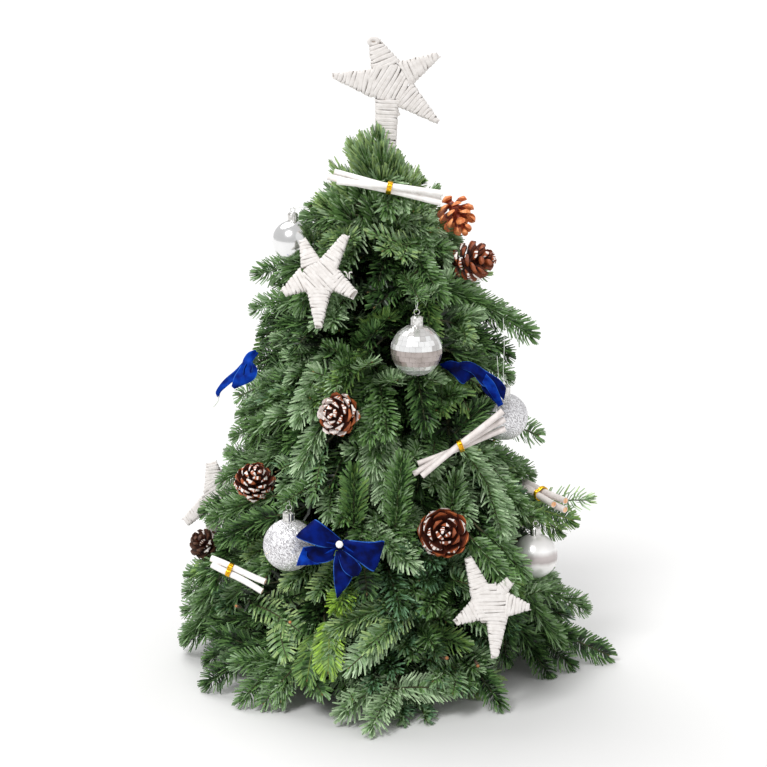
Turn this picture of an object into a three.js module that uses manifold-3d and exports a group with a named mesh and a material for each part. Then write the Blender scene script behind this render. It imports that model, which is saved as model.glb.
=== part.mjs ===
// A small decorated Christmas tree for a table: the top of a noble fir, cut and set on a plain wooden cross stand.
// Millimetres, +Z up, the front towards -Y, +X to the right. The origin is the middle of the stand's underside.
// The trunk runs from the stand to the leader. Boughs leave it in five tiers, and each carries one mass of needled
// sprays. One more mass wraps the leader, and a star of wound paper cord stands on the leader's tip.
import * as THREE from "three";
import { mergeVertices } from "three/addons/utils/BufferGeometryUtils.js";
import Module from "manifold-3d";

const wasm = await Module();
wasm.setup();

// ---------------------------------------------------------------- driving dimensions
const GAP = 0.4; // between touching pieces
const PLANK = { length: 210, width: 46, thick: 24 }; // each plank of the cross
const TRUNK = {
  foot: PLANK.thick + GAP,
  top: 622,
  rFoot: 17,
  rTop: 3,
  flare: 4.5, // extra radius at the cut foot
  flareHeight: 26,
  leanX: -8, // the tip stands this far to the left of the foot
  leanY: 2,
  sides: 14,
};
const SPRAY_GAP = 1.6; // every mass keeps this far inside its cell
const RING = 12; // points round a mass
const STATIONS = 9; // rings along a mass
const BOUGH = { sides: 8, rRoot: 4.4, rTip: 3.0, stagger: 10 };

// The surfaces between the tiers fall outwards: height = at the trunk minus slope times radius.
const SURFACES = [
  { z0: 0, slope: 0 }, // the skirt's underside, shaped by skirt() below
  { z0: 142, slope: 0.31 },
  { z0: 245, slope: 0.3 },
  { z0: 335, slope: 0.28 },
  { z0: 412, slope: 0.22 },
  { z0: 480, slope: 0.1 },
];
const SKIRT = { clear: 6, rRoot: 70, zRoot: 62, fall: 0.75 };

// Each tier: its root radius, and for each mass [azimuth in degrees, reach in mm]. Azimuth 0 is +X, 270 the front.
const TIERS = [
  {
    name: "skirt",
    root: 70,
    masses: [
      [356, 268],
      [306, 214],
      [264, 242],
      [222, 224],
      [184, 252],
      [125, 244],
      [60, 246],
    ],
  },
  {
    name: "low",
    root: 64,
    masses: [
      [10, 244],
      [326, 222],
      [284, 214],
      [238, 218],
      [188, 248],
      [112, 230],
    ],
  },
  {
    name: "middle",
    root: 54,
    masses: [
      [0, 232],
      [303, 184],
      [246, 186],
      [180, 216],
      [76, 200],
    ],
  },
  {
    name: "high",
    root: 46,
    masses: [
      [18, 184],
      [322, 162],
      [266, 160],
      [194, 192],
      [112, 174],
    ],
  },
  {
    name: "upper",
    root: 38,
    masses: [
      [2, 177],
      [286, 138],
      [184, 166],
      [80, 150],
    ],
  },
];

// The mass round the leader: radius at each height, and how far it leans out to the left and right.
const CROWN = {
  bottom: 476,
  top: 652,
  bore: 12.5, // the leader and the star's stem stand clear inside
  profile: [
    [0.0, 0.93],
    [0.1, 1.04],
    [0.22, 1.03],
    [0.36, 0.92],
    [0.5, 0.79],
    [0.64, 0.66],
    [0.78, 0.52],
    [0.9, 0.38],
    [1.0, 0.21],
  ],
  radius: 118,
  leftward: 16, // the lower part stands this much further out on the left
  lobes: 5, // sprays that stand out round it
  lobeDepth: 0.14,
  twist: 6, // how far the lobes turn on the way up, in radians of their own wave
  sides: 30,
};

const STAR = {
  x: -5,
  y: 0,
  z: 713,
  thick: 13,
  inner: 25, // radius of the notches between the arms
  arms: [
    [109, 54],
    [29, 64],
    [-38, 71],
    [-100, 34],
    [174, 62],
  ], // angle in the star's plane, tip radius
  tipHalf: 4.2, // half the width of an arm's blunt tip
  stem: { rOut: 10.8, rIn: 4.2, bottom: 598, boreTop: 626, sides: 14 },
};

// ---------------------------------------------------------------- helpers
const rad = THREE.MathUtils.degToRad;
const lerp = THREE.MathUtils.lerp;

// A closed loft: rings of equal count, each an array of Vector3 running anticlockwise seen from its far end.
function loft(rings, startPoint, endPoint) {
  const n = rings[0].length;
  const pos = [];
  const idx = [];
  for (const ring of rings) for (const p of ring) pos.push(p.x, p.y, p.z);
  for (let i = 0; i < rings.length - 1; i++)
    for (let j = 0; j < n; j++) {
      const a = i * n + j;
      const b = i * n + ((j + 1) % n);
      const c = a + n;
      const d = b + n;
      idx.push(a, b, d, a, d, c);
    }
  const middle = (ring) =>
    ring
      .reduce((s, p) => s.add(p), new THREE.Vector3())
      .divideScalar(ring.length);
  const s = startPoint ?? middle(rings[0]);
  const e = endPoint ?? middle(rings[rings.length - 1]);
  const si = pos.length / 3;
  pos.push(s.x, s.y, s.z, e.x, e.y, e.z);
  const last = (rings.length - 1) * n;
  for (let j = 0; j < n; j++) {
    idx.push(si, (j + 1) % n, j);
    idx.push(si + 1, last + j, last + ((j + 1) % n));
  }
  const g = new THREE.BufferGeometry();
  g.setAttribute("position", new THREE.Float32BufferAttribute(pos, 3));
  g.setIndex(idx);
  return g;
}

function solid(geometry) {
  const g = geometry.clone();
  g.deleteAttribute("normal");
  g.deleteAttribute("uv");
  const m = mergeVertices(g, 1e-3);
  return new wasm.Manifold(
    new wasm.Mesh({
      numProp: 3,
      vertProperties: new Float32Array(m.attributes.position.array),
      triVerts: new Uint32Array(m.index.array),
    }),
  );
}

function geometryOf(manifold) {
  const m = manifold.getMesh();
  const v = new Float32Array(m.numVert * 3);
  for (let i = 0; i < m.numVert; i++)
    v.set(
      m.vertProperties.subarray(i * m.numProp, i * m.numProp + 3),
      i * 3,
    );
  const g = new THREE.BufferGeometry();
  g.setAttribute("position", new THREE.BufferAttribute(v, 3));
  g.setIndex(new THREE.BufferAttribute(new Uint32Array(m.triVerts), 1));
  g.computeVertexNormals();
  return g;
}

// A smooth uneven value from 0 to 1, the same each time for the same seed.
const uneven = (a, b, seed) =>
  0.5 +
  0.25 * Math.sin(2 * a + 4.1 * b + 1.7 * seed) +
  0.25 * Math.sin(3 * a - 5.3 * b + 2.9 * seed + 1);

// ---------------------------------------------------------------- the trunk
function trunkAt(z) {
  const t = (z - TRUNK.foot) / (TRUNK.top - TRUNK.foot);
  const flare =
    TRUNK.flare * Math.exp(-Math.max(0, z - TRUNK.foot) / TRUNK.flareHeight);
  return {
    x: TRUNK.leanX * t + 2.2 * Math.sin(t * 7) * (1 - t) * t * 2,
    y: TRUNK.leanY * t + 1.8 * Math.sin(t * 9 + 1) * (1 - t) * t * 2,
    r: lerp(TRUNK.rFoot, TRUNK.rTop, Math.pow(t, 0.92)) + flare,
  };
}
function trunkGeometry() {
  const rings = [];
  const steps = [0, 0.03, 0.08, 0.16, 0.28, 0.42, 0.57, 0.72, 0.86, 1];
  for (const t of steps) {
    const z = lerp(TRUNK.foot, TRUNK.top, t);
    const c = trunkAt(z);
    const ring = [];
    for (let j = 0; j < TRUNK.sides; j++) {
      const a = (j / TRUNK.sides) * 2 * Math.PI;
      ring.push(
        new THREE.Vector3(c.x + c.r * Math.cos(a), c.y + c.r * Math.sin(a), z),
      );
    }
    rings.push(ring);
  }
  return loft(rings);
}

// ---------------------------------------------------------------- tiers
function surface(k, r) {
  if (k === 0)
    return Math.max(SKIRT.clear, SKIRT.zRoot - SKIRT.fall * (r - SKIRT.rRoot));
  return SURFACES[k].z0 - SURFACES[k].slope * r;
}
// How full a mass is along its length, 0 at both ends: a short blunt root and a long rounded tip.
function fullness(s, root, tip, power) {
  if (s < root) return Math.pow(1 - Math.pow(1 - s / root, 2), 1 / 2);
  if (s > 1 - tip)
    return Math.pow(
      Math.max(0, 1 - Math.pow((s - (1 - tip)) / tip, power)),
      1 / power,
    );
  return 1;
}
function massGeometry(k, root, azimuth, lo, hi, reach, seed) {
  const rings = [];
  const station = (i) => {
    // closer together at both ends, where the shape turns
    const t = i / STATIONS;
    return 0.5 - 0.5 * Math.cos(Math.PI * t);
  };
  for (let i = 1; i < STATIONS; i++) {
    const s = station(i);
    const r = lerp(root, reach, s);
    const top = surface(k + 1, r) - SPRAY_GAP;
    const bottom = surface(k, r) + SPRAY_GAP;
    const h = ((top - bottom) / 2) * fullness(s, 0.12, 0.26, 2.0);
    const mid = (top + bottom) / 2;
    const wide = fullness(s, 0.12, 0.26, 2.0);
    const ring = [];
    for (let j = 0; j < RING; j++) {
      const f = (j / RING) * 2 * Math.PI;
      const c = Math.cos(f);
      const n = Math.sin(f);
      const u = uneven(f, s * 2, seed);
      // a rounded-square section, because neighbours press each other flat
      const q = Math.pow(Math.abs(c), 4) + Math.pow(Math.abs(n), 4);
      const k2 = Math.pow(q, -1 / 4) * (1 - 0.12 * u);
      const side = c > 0 ? hi : -lo;
      const slack = SPRAY_GAP / r; // the gap as an angle
      const a = azimuth + c * k2 * (side - slack) * wide;
      const rr = r - (3 + 9 * s) * uneven(f + 1, s, seed + 3);
      ring.push(
        new THREE.Vector3(
          rr * Math.cos(a),
          rr * Math.sin(a),
          mid + n * k2 * h,
        ),
      );
    }
    rings.push(ring);
  }
  const end = (r) => {
    const z =
      (surface(k + 1, r) - SPRAY_GAP + surface(k, r) + SPRAY_GAP) / 2;
    return new THREE.Vector3(r * Math.cos(azimuth), r * Math.sin(azimuth), z);
  };
  return loft(rings, end(root), end(reach));
}
function boughGeometry(azimuth, root, zEnd, order) {
  const zStart = zEnd - 8 + BOUGH.stagger * ((order % 3) - 1); // no two neighbours leave at one height
  const c = trunkAt(zStart);
  const dir = new THREE.Vector3(Math.cos(azimuth), Math.sin(azimuth), 0);
  const end = dir.clone().multiplyScalar(root - 1.2).setZ(zEnd);
  // where the bough's line leaves the trunk's bark
  const start = new THREE.Vector3(c.x, c.y, zStart);
  const flat = end.clone().sub(start).setZ(0);
  const out = flat.clone().normalize();
  start.add(out.clone().multiplyScalar(c.r + GAP)).setZ(zStart);
  const rings = [];
  const side = new THREE.Vector3(-out.y, out.x, 0);
  for (const t of [0, 0.18, 0.55, 1]) {
    const p = start.clone().lerp(end, t);
    p.z += 2.5 * Math.sin(Math.PI * t);
    const r =
      lerp(BOUGH.rRoot, BOUGH.rTip, t) * (root / 60) + (t === 0 ? 1.0 : 0);
    const ring = [];
    for (let j = 0; j < BOUGH.sides; j++) {
      const f = (j / BOUGH.sides) * 2 * Math.PI;
      ring.push(
        p
          .clone()
          .add(side.clone().multiplyScalar(r * Math.cos(f)))
          .add(new THREE.Vector3(0, 0, r * Math.sin(f))),
      );
    }
    rings.push(ring);
  }
  return loft(rings);
}

// ---------------------------------------------------------------- the mass round the leader
function crownGeometry() {
  const n = CROWN.sides;
  const height = CROWN.top - CROWN.bottom;
  const outer = CROWN.profile.map(([t, f]) => {
    const ring = [];
    for (let j = 0; j < n; j++) {
      const a = (j / n) * 2 * Math.PI;
      const left = CROWN.leftward * Math.cos(a) * (t < 0.5 ? 1 : 0.4);
      const lobe =
        CROWN.lobeDepth *
        (0.5 + 0.5 * Math.cos(CROWN.lobes * a + CROWN.twist * t));
      const u = uneven(a, t * 2.2, 5);
      const r = Math.max(
        CROWN.bore + 6,
        (CROWN.radius * f - left) * (1 - 0.07 * u - lobe),
      );
      // the underside rests just above the tier below, and falls outwards with it
      const z =
        CROWN.bottom + t * height - (t === 0 ? SURFACES[5].slope * r - 6 : 0);
      const c = trunkAt(Math.min(z, TRUNK.top));
      ring.push(
        new THREE.Vector3(c.x + r * Math.cos(a), c.y + r * Math.sin(a), z),
      );
    }
    return ring;
  });
  const inner = [CROWN.top, CROWN.bottom + 6].map((z) => {
    const ring = [];
    const c = trunkAt(Math.min(z, TRUNK.top));
    for (let j = 0; j < n; j++) {
      const a = (j / n) * 2 * Math.PI;
      ring.push(
        new THREE.Vector3(
          c.x + CROWN.bore * Math.cos(a),
          c.y + CROWN.bore * Math.sin(a),
          z,
        ),
      );
    }
    return ring;
  });
  const rings = [...outer, ...inner];
  const pos = [];
  const idx = [];
  for (const ring of rings) for (const p of ring) pos.push(p.x, p.y, p.z);
  for (let i = 0; i < rings.length; i++)
    for (let j = 0; j < n; j++) {
      const i2 = (i + 1) % rings.length;
      const a = i * n + j;
      const b = i * n + ((j + 1) % n);
      const c = i2 * n + j;
      const d = i2 * n + ((j + 1) % n);
      idx.push(a, b, d, a, d, c);
    }
  const g = new THREE.BufferGeometry();
  g.setAttribute("position", new THREE.Float32BufferAttribute(pos, 3));
  g.setIndex(idx);
  return g;
}

// ---------------------------------------------------------------- the star on the leader
function starGeometry() {
  const shape = new THREE.Shape();
  const arms = STAR.arms.map(([a, r]) => [rad(a), r]);
  const pts = [];
  arms.sort((p, q) => p[0] - q[0]);
  arms.forEach(([a, r], i) => {
    const next = arms[(i + 1) % arms.length][0] + (i === arms.length - 1 ? 2 * Math.PI : 0);
    const across = new THREE.Vector2(-Math.sin(a), Math.cos(a));
    const tip = new THREE.Vector2(Math.cos(a), Math.sin(a)).multiplyScalar(r);
    pts.push(tip.clone().addScaledVector(across, -STAR.tipHalf));
    pts.push(tip.clone().addScaledVector(across, STAR.tipHalf));
    const m = (a + next) / 2;
    pts.push(
      new THREE.Vector2(Math.cos(m), Math.sin(m)).multiplyScalar(STAR.inner),
    );
  });
  shape.setFromPoints(pts);
  const plate = new THREE.ExtrudeGeometry(shape, {
    depth: STAR.thick,
    bevelEnabled: false,
  });
  plate.translate(0, 0, -STAR.thick / 2);
  plate.rotateX(Math.PI / 2); // the shape's up becomes +Z, its face looks along -Y
  plate.translate(STAR.x, STAR.y, STAR.z);
  const s = STAR.stem;
  const tip = trunkAt(TRUNK.top);
  // the stem's closed profile, with the blind bore that slips over the leader
  const outline = [
    [0, s.boreTop],
    [s.rIn, s.boreTop],
    [s.rIn, s.bottom],
    [s.rOut, s.bottom],
    [s.rOut * 0.94, lerp(s.bottom, STAR.z, 0.6)],
    [s.rOut * 0.6, STAR.z - 4],
    [0, STAR.z - 4],
  ].map(([r, z]) => new THREE.Vector2(r, z));
  const stem = new THREE.LatheGeometry(outline, s.sides);
  stem.rotateX(Math.PI / 2); // the lathe's axis, Y, becomes +Z
  stem.translate(tip.x, tip.y, 0);
  return geometryOf(solid(plate).add(solid(stem)));
}

// ---------------------------------------------------------------- the stand
function box(x, y, z, cx, cy, cz) {
  const g = new THREE.BoxGeometry(x, y, z);
  g.translate(cx, cy, cz);
  return g;
}
function chamfered(length, width, thick) {
  // a plank along X with its top edges and ends eased
  const e = 3;
  const shape = new THREE.Shape(
    [
      [-width / 2, 0],
      [width / 2, 0],
      [width / 2, thick - e],
      [width / 2 - e, thick],
      [-width / 2 + e, thick],
      [-width / 2, thick - e],
    ].map(([x, y]) => new THREE.Vector2(x, y)),
  );
  const g = new THREE.ExtrudeGeometry(shape, {
    depth: length,
    bevelEnabled: false,
  });
  g.translate(0, 0, -length / 2);
  g.rotateX(Math.PI / 2); // thickness up, length along Y
  return g;
}
function plankGeometry(upper) {
  const { length, width, thick } = PLANK;
  const plank = solid(chamfered(length, width, thick));
  const half = thick / 2;
  const reach = width + 2 * GAP;
  const notch = upper
    ? box(width * 2, reach, half + GAP / 2 + 2, 0, 0, (half + GAP / 2 - 2) / 2)
    : box(
        width * 2,
        reach,
        half + GAP / 2 + 2,
        0,
        0,
        thick + 2 - (half + GAP / 2 + 2) / 2,
      );
  const cut = plank.subtract(solid(notch));
  const g = geometryOf(cut);
  if (upper) g.rotateZ(Math.PI / 2);
  return g;
}

// ---------------------------------------------------------------- the tree
const bark = new THREE.MeshStandardMaterial({
  color: 0x6a5140,
  roughness: 0.9,
  metalness: 0,
});
const needles = new THREE.MeshStandardMaterial({
  color: 0x3f6a3c,
  roughness: 0.6,
  metalness: 0,
});
const paper = new THREE.MeshStandardMaterial({
  color: 0xe8e5df,
  roughness: 0.85,
  metalness: 0,
});
const pine = new THREE.MeshStandardMaterial({
  color: 0xc49a6a,
  roughness: 0.7,
  metalness: 0,
});

const tree = new THREE.Group();
function put(name, geometry, material) {
  geometry.computeVertexNormals();
  const mesh = new THREE.Mesh(geometry, material);
  mesh.name = name;
  tree.add(mesh);
}

put("stand_plank_lower", plankGeometry(false), pine);
put("stand_plank_upper", plankGeometry(true), pine);
put("trunk", trunkGeometry(), bark);
TIERS.forEach((tier, k) => {
  const sorted = [...tier.masses].sort((a, b) => a[0] - b[0]);
  sorted.forEach(([azimuth, reach], i) => {
    const before = sorted[(i + sorted.length - 1) % sorted.length][0];
    const after = sorted[(i + 1) % sorted.length][0];
    const lo = (((azimuth - before + 360) % 360) / 2) * -1;
    const hi = ((after - azimuth + 360) % 360) / 2;
    const a = rad(azimuth);
    const number = tier.masses.findIndex((m) => m[0] === azimuth) + 1;
    put(
      `spray_${tier.name}_${number}`,
      massGeometry(k, tier.root, a, rad(lo), rad(hi), reach, k * 7 + i * 3 + 1),
      needles,
    );
    const z =
      (surface(k + 1, tier.root) + surface(k, tier.root)) / 2;
    put(
      `bough_${tier.name}_${number}`,
      boughGeometry(a, tier.root, z, i),
      bark,
    );
  });
});
put("spray_leader", crownGeometry(), needles);
put("top_star", starGeometry(), paper);

export default tree;
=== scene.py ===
# The looks of a small decorated Christmas tree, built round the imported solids.
# Metres, +Z up, the front towards -Y. Every shoot, needle and ornament is made here by seeded rules.
import math

import bpy
import numpy as np
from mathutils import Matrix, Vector


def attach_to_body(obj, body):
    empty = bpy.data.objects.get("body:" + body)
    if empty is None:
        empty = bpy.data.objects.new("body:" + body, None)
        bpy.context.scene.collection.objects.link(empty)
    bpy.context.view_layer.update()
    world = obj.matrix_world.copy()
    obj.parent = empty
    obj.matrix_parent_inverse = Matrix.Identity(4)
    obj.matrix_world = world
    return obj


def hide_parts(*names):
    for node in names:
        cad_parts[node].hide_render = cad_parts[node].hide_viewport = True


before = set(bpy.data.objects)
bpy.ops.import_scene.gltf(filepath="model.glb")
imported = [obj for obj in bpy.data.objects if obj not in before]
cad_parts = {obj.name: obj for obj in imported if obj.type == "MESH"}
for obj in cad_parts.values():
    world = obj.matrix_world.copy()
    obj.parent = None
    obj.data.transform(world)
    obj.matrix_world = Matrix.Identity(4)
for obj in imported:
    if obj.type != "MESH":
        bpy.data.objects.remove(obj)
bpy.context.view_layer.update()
rng = np.random.default_rng(20)

# ------------------------------------------------------------------ the camera, from the photograph
PITCH = math.radians(13.0)
DIST = 2.5
TARGET = np.array([-0.0102, 0.0, 0.3537])
LENS = 97.8
IMAGE = 767.0
FOCAL = IMAGE * LENS / 36.0  # in pixels
RIGHT = np.array([1.0, 0.0, 0.0])
FORWARD = np.array([0.0, math.cos(PITCH), -math.sin(PITCH)])
UPWARD = np.array([0.0, math.sin(PITCH), math.cos(PITCH)])
EYE = TARGET - DIST * FORWARD

camera = bpy.data.objects.new("camera", bpy.data.cameras.new("camera"))
camera.data.lens = LENS
camera.data.sensor_width = 36.0
camera.location = EYE
camera.rotation_euler = (math.pi / 2 - PITCH, 0, 0)
bpy.context.scene.collection.objects.link(camera)
bpy.context.scene.camera = camera

Z = np.array([0.0, 0.0, 1.0])


def unit(v):
    v = np.asarray(v, float)
    n = np.linalg.norm(v, axis=-1, keepdims=True)
    return v / np.maximum(n, 1e-12)


def ray(px, py):
    half = IMAGE / 2
    return unit(FORWARD * FOCAL + RIGHT * (px - half) + UPWARD * (half - py))


def at_depth(px, py, y):
    """The point of a pixel's ray that lies in the plane of this y."""
    d = ray(px, py)
    return EYE + d * ((y - EYE[1]) / d[1])


def to_pixel(p):
    """Pixels of one or many points."""
    q = np.asarray(p, float) - EYE
    depth = q @ FORWARD
    return np.stack(
        [IMAGE / 2 + FOCAL * (q @ RIGHT) / depth, IMAGE / 2 - FOCAL * (q @ UPWARD) / depth],
        -1,
    )


# ------------------------------------------------------------------ the crown's outline
# Radius of the crown at each height, to the left and the right, worked out from its outline in the photograph.
HEIGHTS = [0.0, 0.05, 0.10, 0.145, 0.208, 0.271, 0.333, 0.395, 0.456, 0.516, 0.575, 0.634, 0.660]
LEFT = [0.250, 0.256, 0.250, 0.235, 0.206, 0.177, 0.181, 0.155, 0.146, 0.118, 0.076, 0.038, 0.014]
RIGHTS = [0.258, 0.242, 0.214, 0.192, 0.178, 0.134, 0.138, 0.134, 0.116, 0.084, 0.056, 0.023, 0.010]
FRONT_SHARE, BACK_SHARE = 0.98, 0.94  # of the mean of left and right


FLOOR_DEG = [0, 10, 170, 180, 195, 215, 240, 255, 262, 275, 300, 318, 337, 350, 358, 360]
FLOOR_SHARE = [1.0, 1.0, 1.0, 0.95, 0.86, 0.84, 0.86, 0.91, 0.91, 0.82, 0.77, 0.72, 0.60, 0.72, 0.97, 1.0]


def crown_radius(z, a):
    low = np.clip((0.125 - np.asarray(z, float)) / 0.06, 0, 1)
    share = 1 - low * (1 - np.interp(np.degrees(a) % 360, FLOOR_DEG, FLOOR_SHARE))
    left = np.interp(z, HEIGHTS, LEFT)
    right = np.interp(z, HEIGHTS, RIGHTS)
    c, s = np.cos(a), np.sin(a)
    side = np.where(c > 0, right, left)
    deep = (left + right) / 2 * np.where(s < 0, FRONT_SHARE, BACK_SHARE)
    return (side * c * c + deep * s * s) * share


def on_floor(px, py, z):
    """Where a pixel's ray comes down to a height."""
    d = ray(px, py)
    return EYE + d * ((z - EYE[2]) / d[2])


def on_crown(px, py, lift=0.0):
    """The first point of a pixel's ray on the crown's outline, or the point nearest to it."""
    d = ray(px, py)
    s = np.linspace(1.9, 3.1, 1201)
    p = EYE + d * s[:, None]
    over = np.hypot(p[:, 0], p[:, 1]) - crown_radius(p[:, 2], np.arctan2(p[:, 1], p[:, 0])) - lift
    inside = np.nonzero(over <= 0)[0]
    return p[inside[0]] if len(inside) else p[np.argmin(over)]


# ------------------------------------------------------------------ sizes shared with the solids
FOOT, TRUNK_TOP = 0.0244, 0.622


def trunk_at(z):
    t = (z - FOOT) / (TRUNK_TOP - FOOT)
    x = -0.008 * t + 0.0022 * math.sin(t * 7) * (1 - t) * t * 2
    y = 0.002 * t + 0.0018 * math.sin(t * 9 + 1) * (1 - t) * t * 2
    r = 0.017 + (0.003 - 0.017) * max(t, 0) ** 0.92
    r += 0.0045 * math.exp(-max(0.0, z - FOOT) / 0.026)
    return np.array([x, y, z]), r


SURFACES = [(0.0, 0.0), (0.142, 0.31), (0.245, 0.30), (0.335, 0.28), (0.412, 0.22), (0.480, 0.10)]


def surface(k, r):
    if k == 0:
        return max(0.006, 0.062 - 0.75 * (r - 0.070))
    return SURFACES[k][0] - SURFACES[k][1] * r


TIERS = [
    ("skirt", 0.070, [(356, 268), (306, 214), (264, 242), (222, 224), (184, 252), (125, 244), (60, 246)]),
    ("low", 0.064, [(10, 244), (326, 222), (284, 214), (238, 218), (188, 248), (112, 230)]),
    ("middle", 0.054, [(0, 232), (303, 184), (246, 186), (180, 216), (76, 200)]),
    ("high", 0.046, [(18, 184), (322, 162), (266, 160), (194, 192), (112, 174)]),
    ("upper", 0.038, [(2, 177), (286, 138), (184, 166), (80, 150)]),
]


# ------------------------------------------------------------------ mesh piles
class Pile:
    """Vertices and triangles gathered into one mesh."""

    def __init__(self):
        self.v, self.f, self.m, self.n = [], [], [], 0

    def add(self, v, f, m=0):
        v, f = np.asarray(v, float).reshape(-1, 3), np.asarray(f, np.int64).reshape(-1, 3)
        self.v.append(v)
        self.f.append(f + self.n)
        self.m.append(np.full(len(f), m, np.int32) if np.isscalar(m) else np.asarray(m, np.int32))
        self.n += len(v)

    def triangles(self):
        return sum(len(f) for f in self.f)

    def build(self, name, materials, smooth=False, slot=None, replaces=()):
        v, f, m = np.concatenate(self.v), np.concatenate(self.f), np.concatenate(self.m)
        mesh = bpy.data.meshes.new(name)
        mesh.vertices.add(len(v))
        mesh.vertices.foreach_set("co", v.astype(np.float32).ravel())
        mesh.loops.add(len(f) * 3)
        mesh.loops.foreach_set("vertex_index", f.astype(np.int32).ravel())
        mesh.polygons.add(len(f))
        mesh.polygons.foreach_set("loop_start", (np.arange(len(f)) * 3).astype(np.int32))
        mesh.polygons.foreach_set("loop_total", np.full(len(f), 3, np.int32))
        for mat in materials:
            mesh.materials.append(mat)
        mesh.polygons.foreach_set("material_index", m)
        mesh.polygons.foreach_set("use_smooth", np.full(len(f), smooth))
        mesh.update(calc_edges=True)
        mesh.validate()
        obj = bpy.data.objects.new(name, mesh)
        bpy.context.scene.collection.objects.link(obj)
        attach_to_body(obj, "root")
        if replaces:
            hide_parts(*replaces)
        return obj


def quads(a, b, c, d):
    """Two triangles for each quad a b c d."""
    a, b, c, d = (np.asarray(x).ravel() for x in (a, b, c, d))
    return np.concatenate([np.stack([a, b, c], 1), np.stack([a, c, d], 1)])


def frames_along(points, up):
    """Tangent, side and up vectors along a path, with up carried smoothly from the given one."""
    p = np.asarray(points, float)
    t = unit(np.gradient(p, axis=0))
    u = np.zeros_like(p)
    now = np.asarray(up, float)
    for i in range(len(p)):
        now = now - (now @ t[i]) * t[i]
        if np.linalg.norm(now) < 1e-6:
            now = np.cross(t[i], [0.3, 0.5, 0.8])
        now = unit(now)
        u[i] = now
    s = np.cross(t, u)
    return t, s, u


def tube(pile, points, radii, sides=6, m=0, up=Z, relief=None, caps=True):
    """A closed tube along a path. relief(i, angle) scales the radius."""
    p = np.asarray(points, float)
    r = np.broadcast_to(np.asarray(radii, float), (len(p),))
    t, s, u = frames_along(p, up)
    ang = np.arange(sides) * 2 * np.pi / sides
    k = np.ones((len(p), sides)) if relief is None else relief(np.arange(len(p))[:, None], ang[None, :])
    ring = (
        p[:, None, :]
        + (r[:, None] * k)[:, :, None]
        * (np.cos(ang)[None, :, None] * s[:, None, :] + np.sin(ang)[None, :, None] * u[:, None, :])
    )
    v = ring.reshape(-1, 3)
    i = np.arange(len(p) - 1)[:, None] * sides
    j = np.arange(sides)[None, :]
    j2 = (j + 1) % sides
    f = quads(i + j, i + sides + j, i + sides + j2, i + j2)
    if caps:
        v = np.concatenate([v, p[:1], p[-1:]])
        a, b = len(v) - 2, len(v) - 1
        last = (len(p) - 1) * sides
        jj, jj2 = j.ravel(), j2.ravel()
        f = np.concatenate(
            [
                f,
                np.stack([np.full(sides, a), jj, jj2], 1),
                np.stack([np.full(sides, b), last + jj2, last + jj], 1),
            ]
        )
    pile.add(v, f, m)


def bezier(a, b, c, d, n):
    t = np.linspace(0, 1, n)[:, None]
    return (1 - t) ** 3 * a + 3 * (1 - t) ** 2 * t * b + 3 * (1 - t) * t * t * c + t**3 * d


def resample(points, n):
    p = np.asarray(points, float)
    seg = np.linalg.norm(np.diff(p, axis=0), axis=1)
    s = np.concatenate([[0], np.cumsum(seg)])
    x = np.linspace(0, s[-1], n)
    return np.stack([np.interp(x, s, p[:, k]) for k in range(3)], 1), s[-1]


# ------------------------------------------------------------------ materials
def srgb(r, g, b):
    def f(c):
        c = c / 255.0
        return c / 12.92 if c <= 0.04045 else ((c + 0.055) / 1.055) ** 2.4

    return (f(r), f(g), f(b), 1.0)


def new_material(name):
    mat = bpy.data.materials.new(name)
    mat.use_nodes = True
    nt = mat.node_tree
    return mat, nt, nt.nodes["Principled BSDF"]


def noisy_colour(nt, colour_a, colour_b, scale, detail=2.0, low=0.35, high=0.65, coords="Object", stretch=None):
    """A node output that wanders between two colours."""
    tc = nt.nodes.new("ShaderNodeTexCoord")
    source = tc.outputs[coords]
    if stretch is not None:
        mp = nt.nodes.new("ShaderNodeMapping")
        mp.inputs["Scale"].default_value = stretch
        nt.links.new(source, mp.inputs["Vector"])
        source = mp.outputs["Vector"]
    tex = nt.nodes.new("ShaderNodeTexNoise")
    tex.inputs["Scale"].default_value = scale
    tex.inputs["Detail"].default_value = detail
    nt.links.new(source, tex.inputs["Vector"])
    ramp = nt.nodes.new("ShaderNodeValToRGB")
    ramp.color_ramp.elements[0].position = low
    ramp.color_ramp.elements[0].color = colour_a
    ramp.color_ramp.elements[1].position = high
    ramp.color_ramp.elements[1].color = colour_b
    nt.links.new(tex.outputs["Fac"], ramp.inputs["Fac"])
    return ramp.outputs["Color"], tex.outputs["Fac"], source


def add_bump(nt, bsdf, height, strength, distance):
    bump = nt.nodes.new("ShaderNodeBump")
    bump.inputs["Strength"].default_value = strength
    bump.inputs["Distance"].default_value = distance
    nt.links.new(height, bump.inputs["Height"])
    nt.links.new(bump.outputs["Normal"], bsdf.inputs["Normal"])


def shade(c, k):
    return (c[0] * k, c[1] * k, c[2] * k, 1.0)


# inner and deep serve as painted shade, for needles deep in the crown and at the needles' feet
TONES = {  # name: colour of the needles, 0 to 255
    "inner": (17, 34, 12),
    "deep": (52, 84, 40),
    "green": (98, 134, 74),
    "grey": (136, 164, 122),
    "pale": (174, 198, 158),
    "fresh": (126, 158, 82),
    "lime": (154, 192, 72),
    "bright": (158, 184, 120),
    "blue": (102, 140, 104),
}
TONE_NAMES = list(TONES)
TONE = {n: i for i, n in enumerate(TONE_NAMES)}
# painted shade: the darker tone of a needle's inner half, where the shoot shades its foot, for each tone of its outer
# half
FOOT_SHADE_TONE = np.array([TONE[n] for n in ("inner", "inner", "deep", "green", "grey", "green", "fresh", "green", "deep")])


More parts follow.
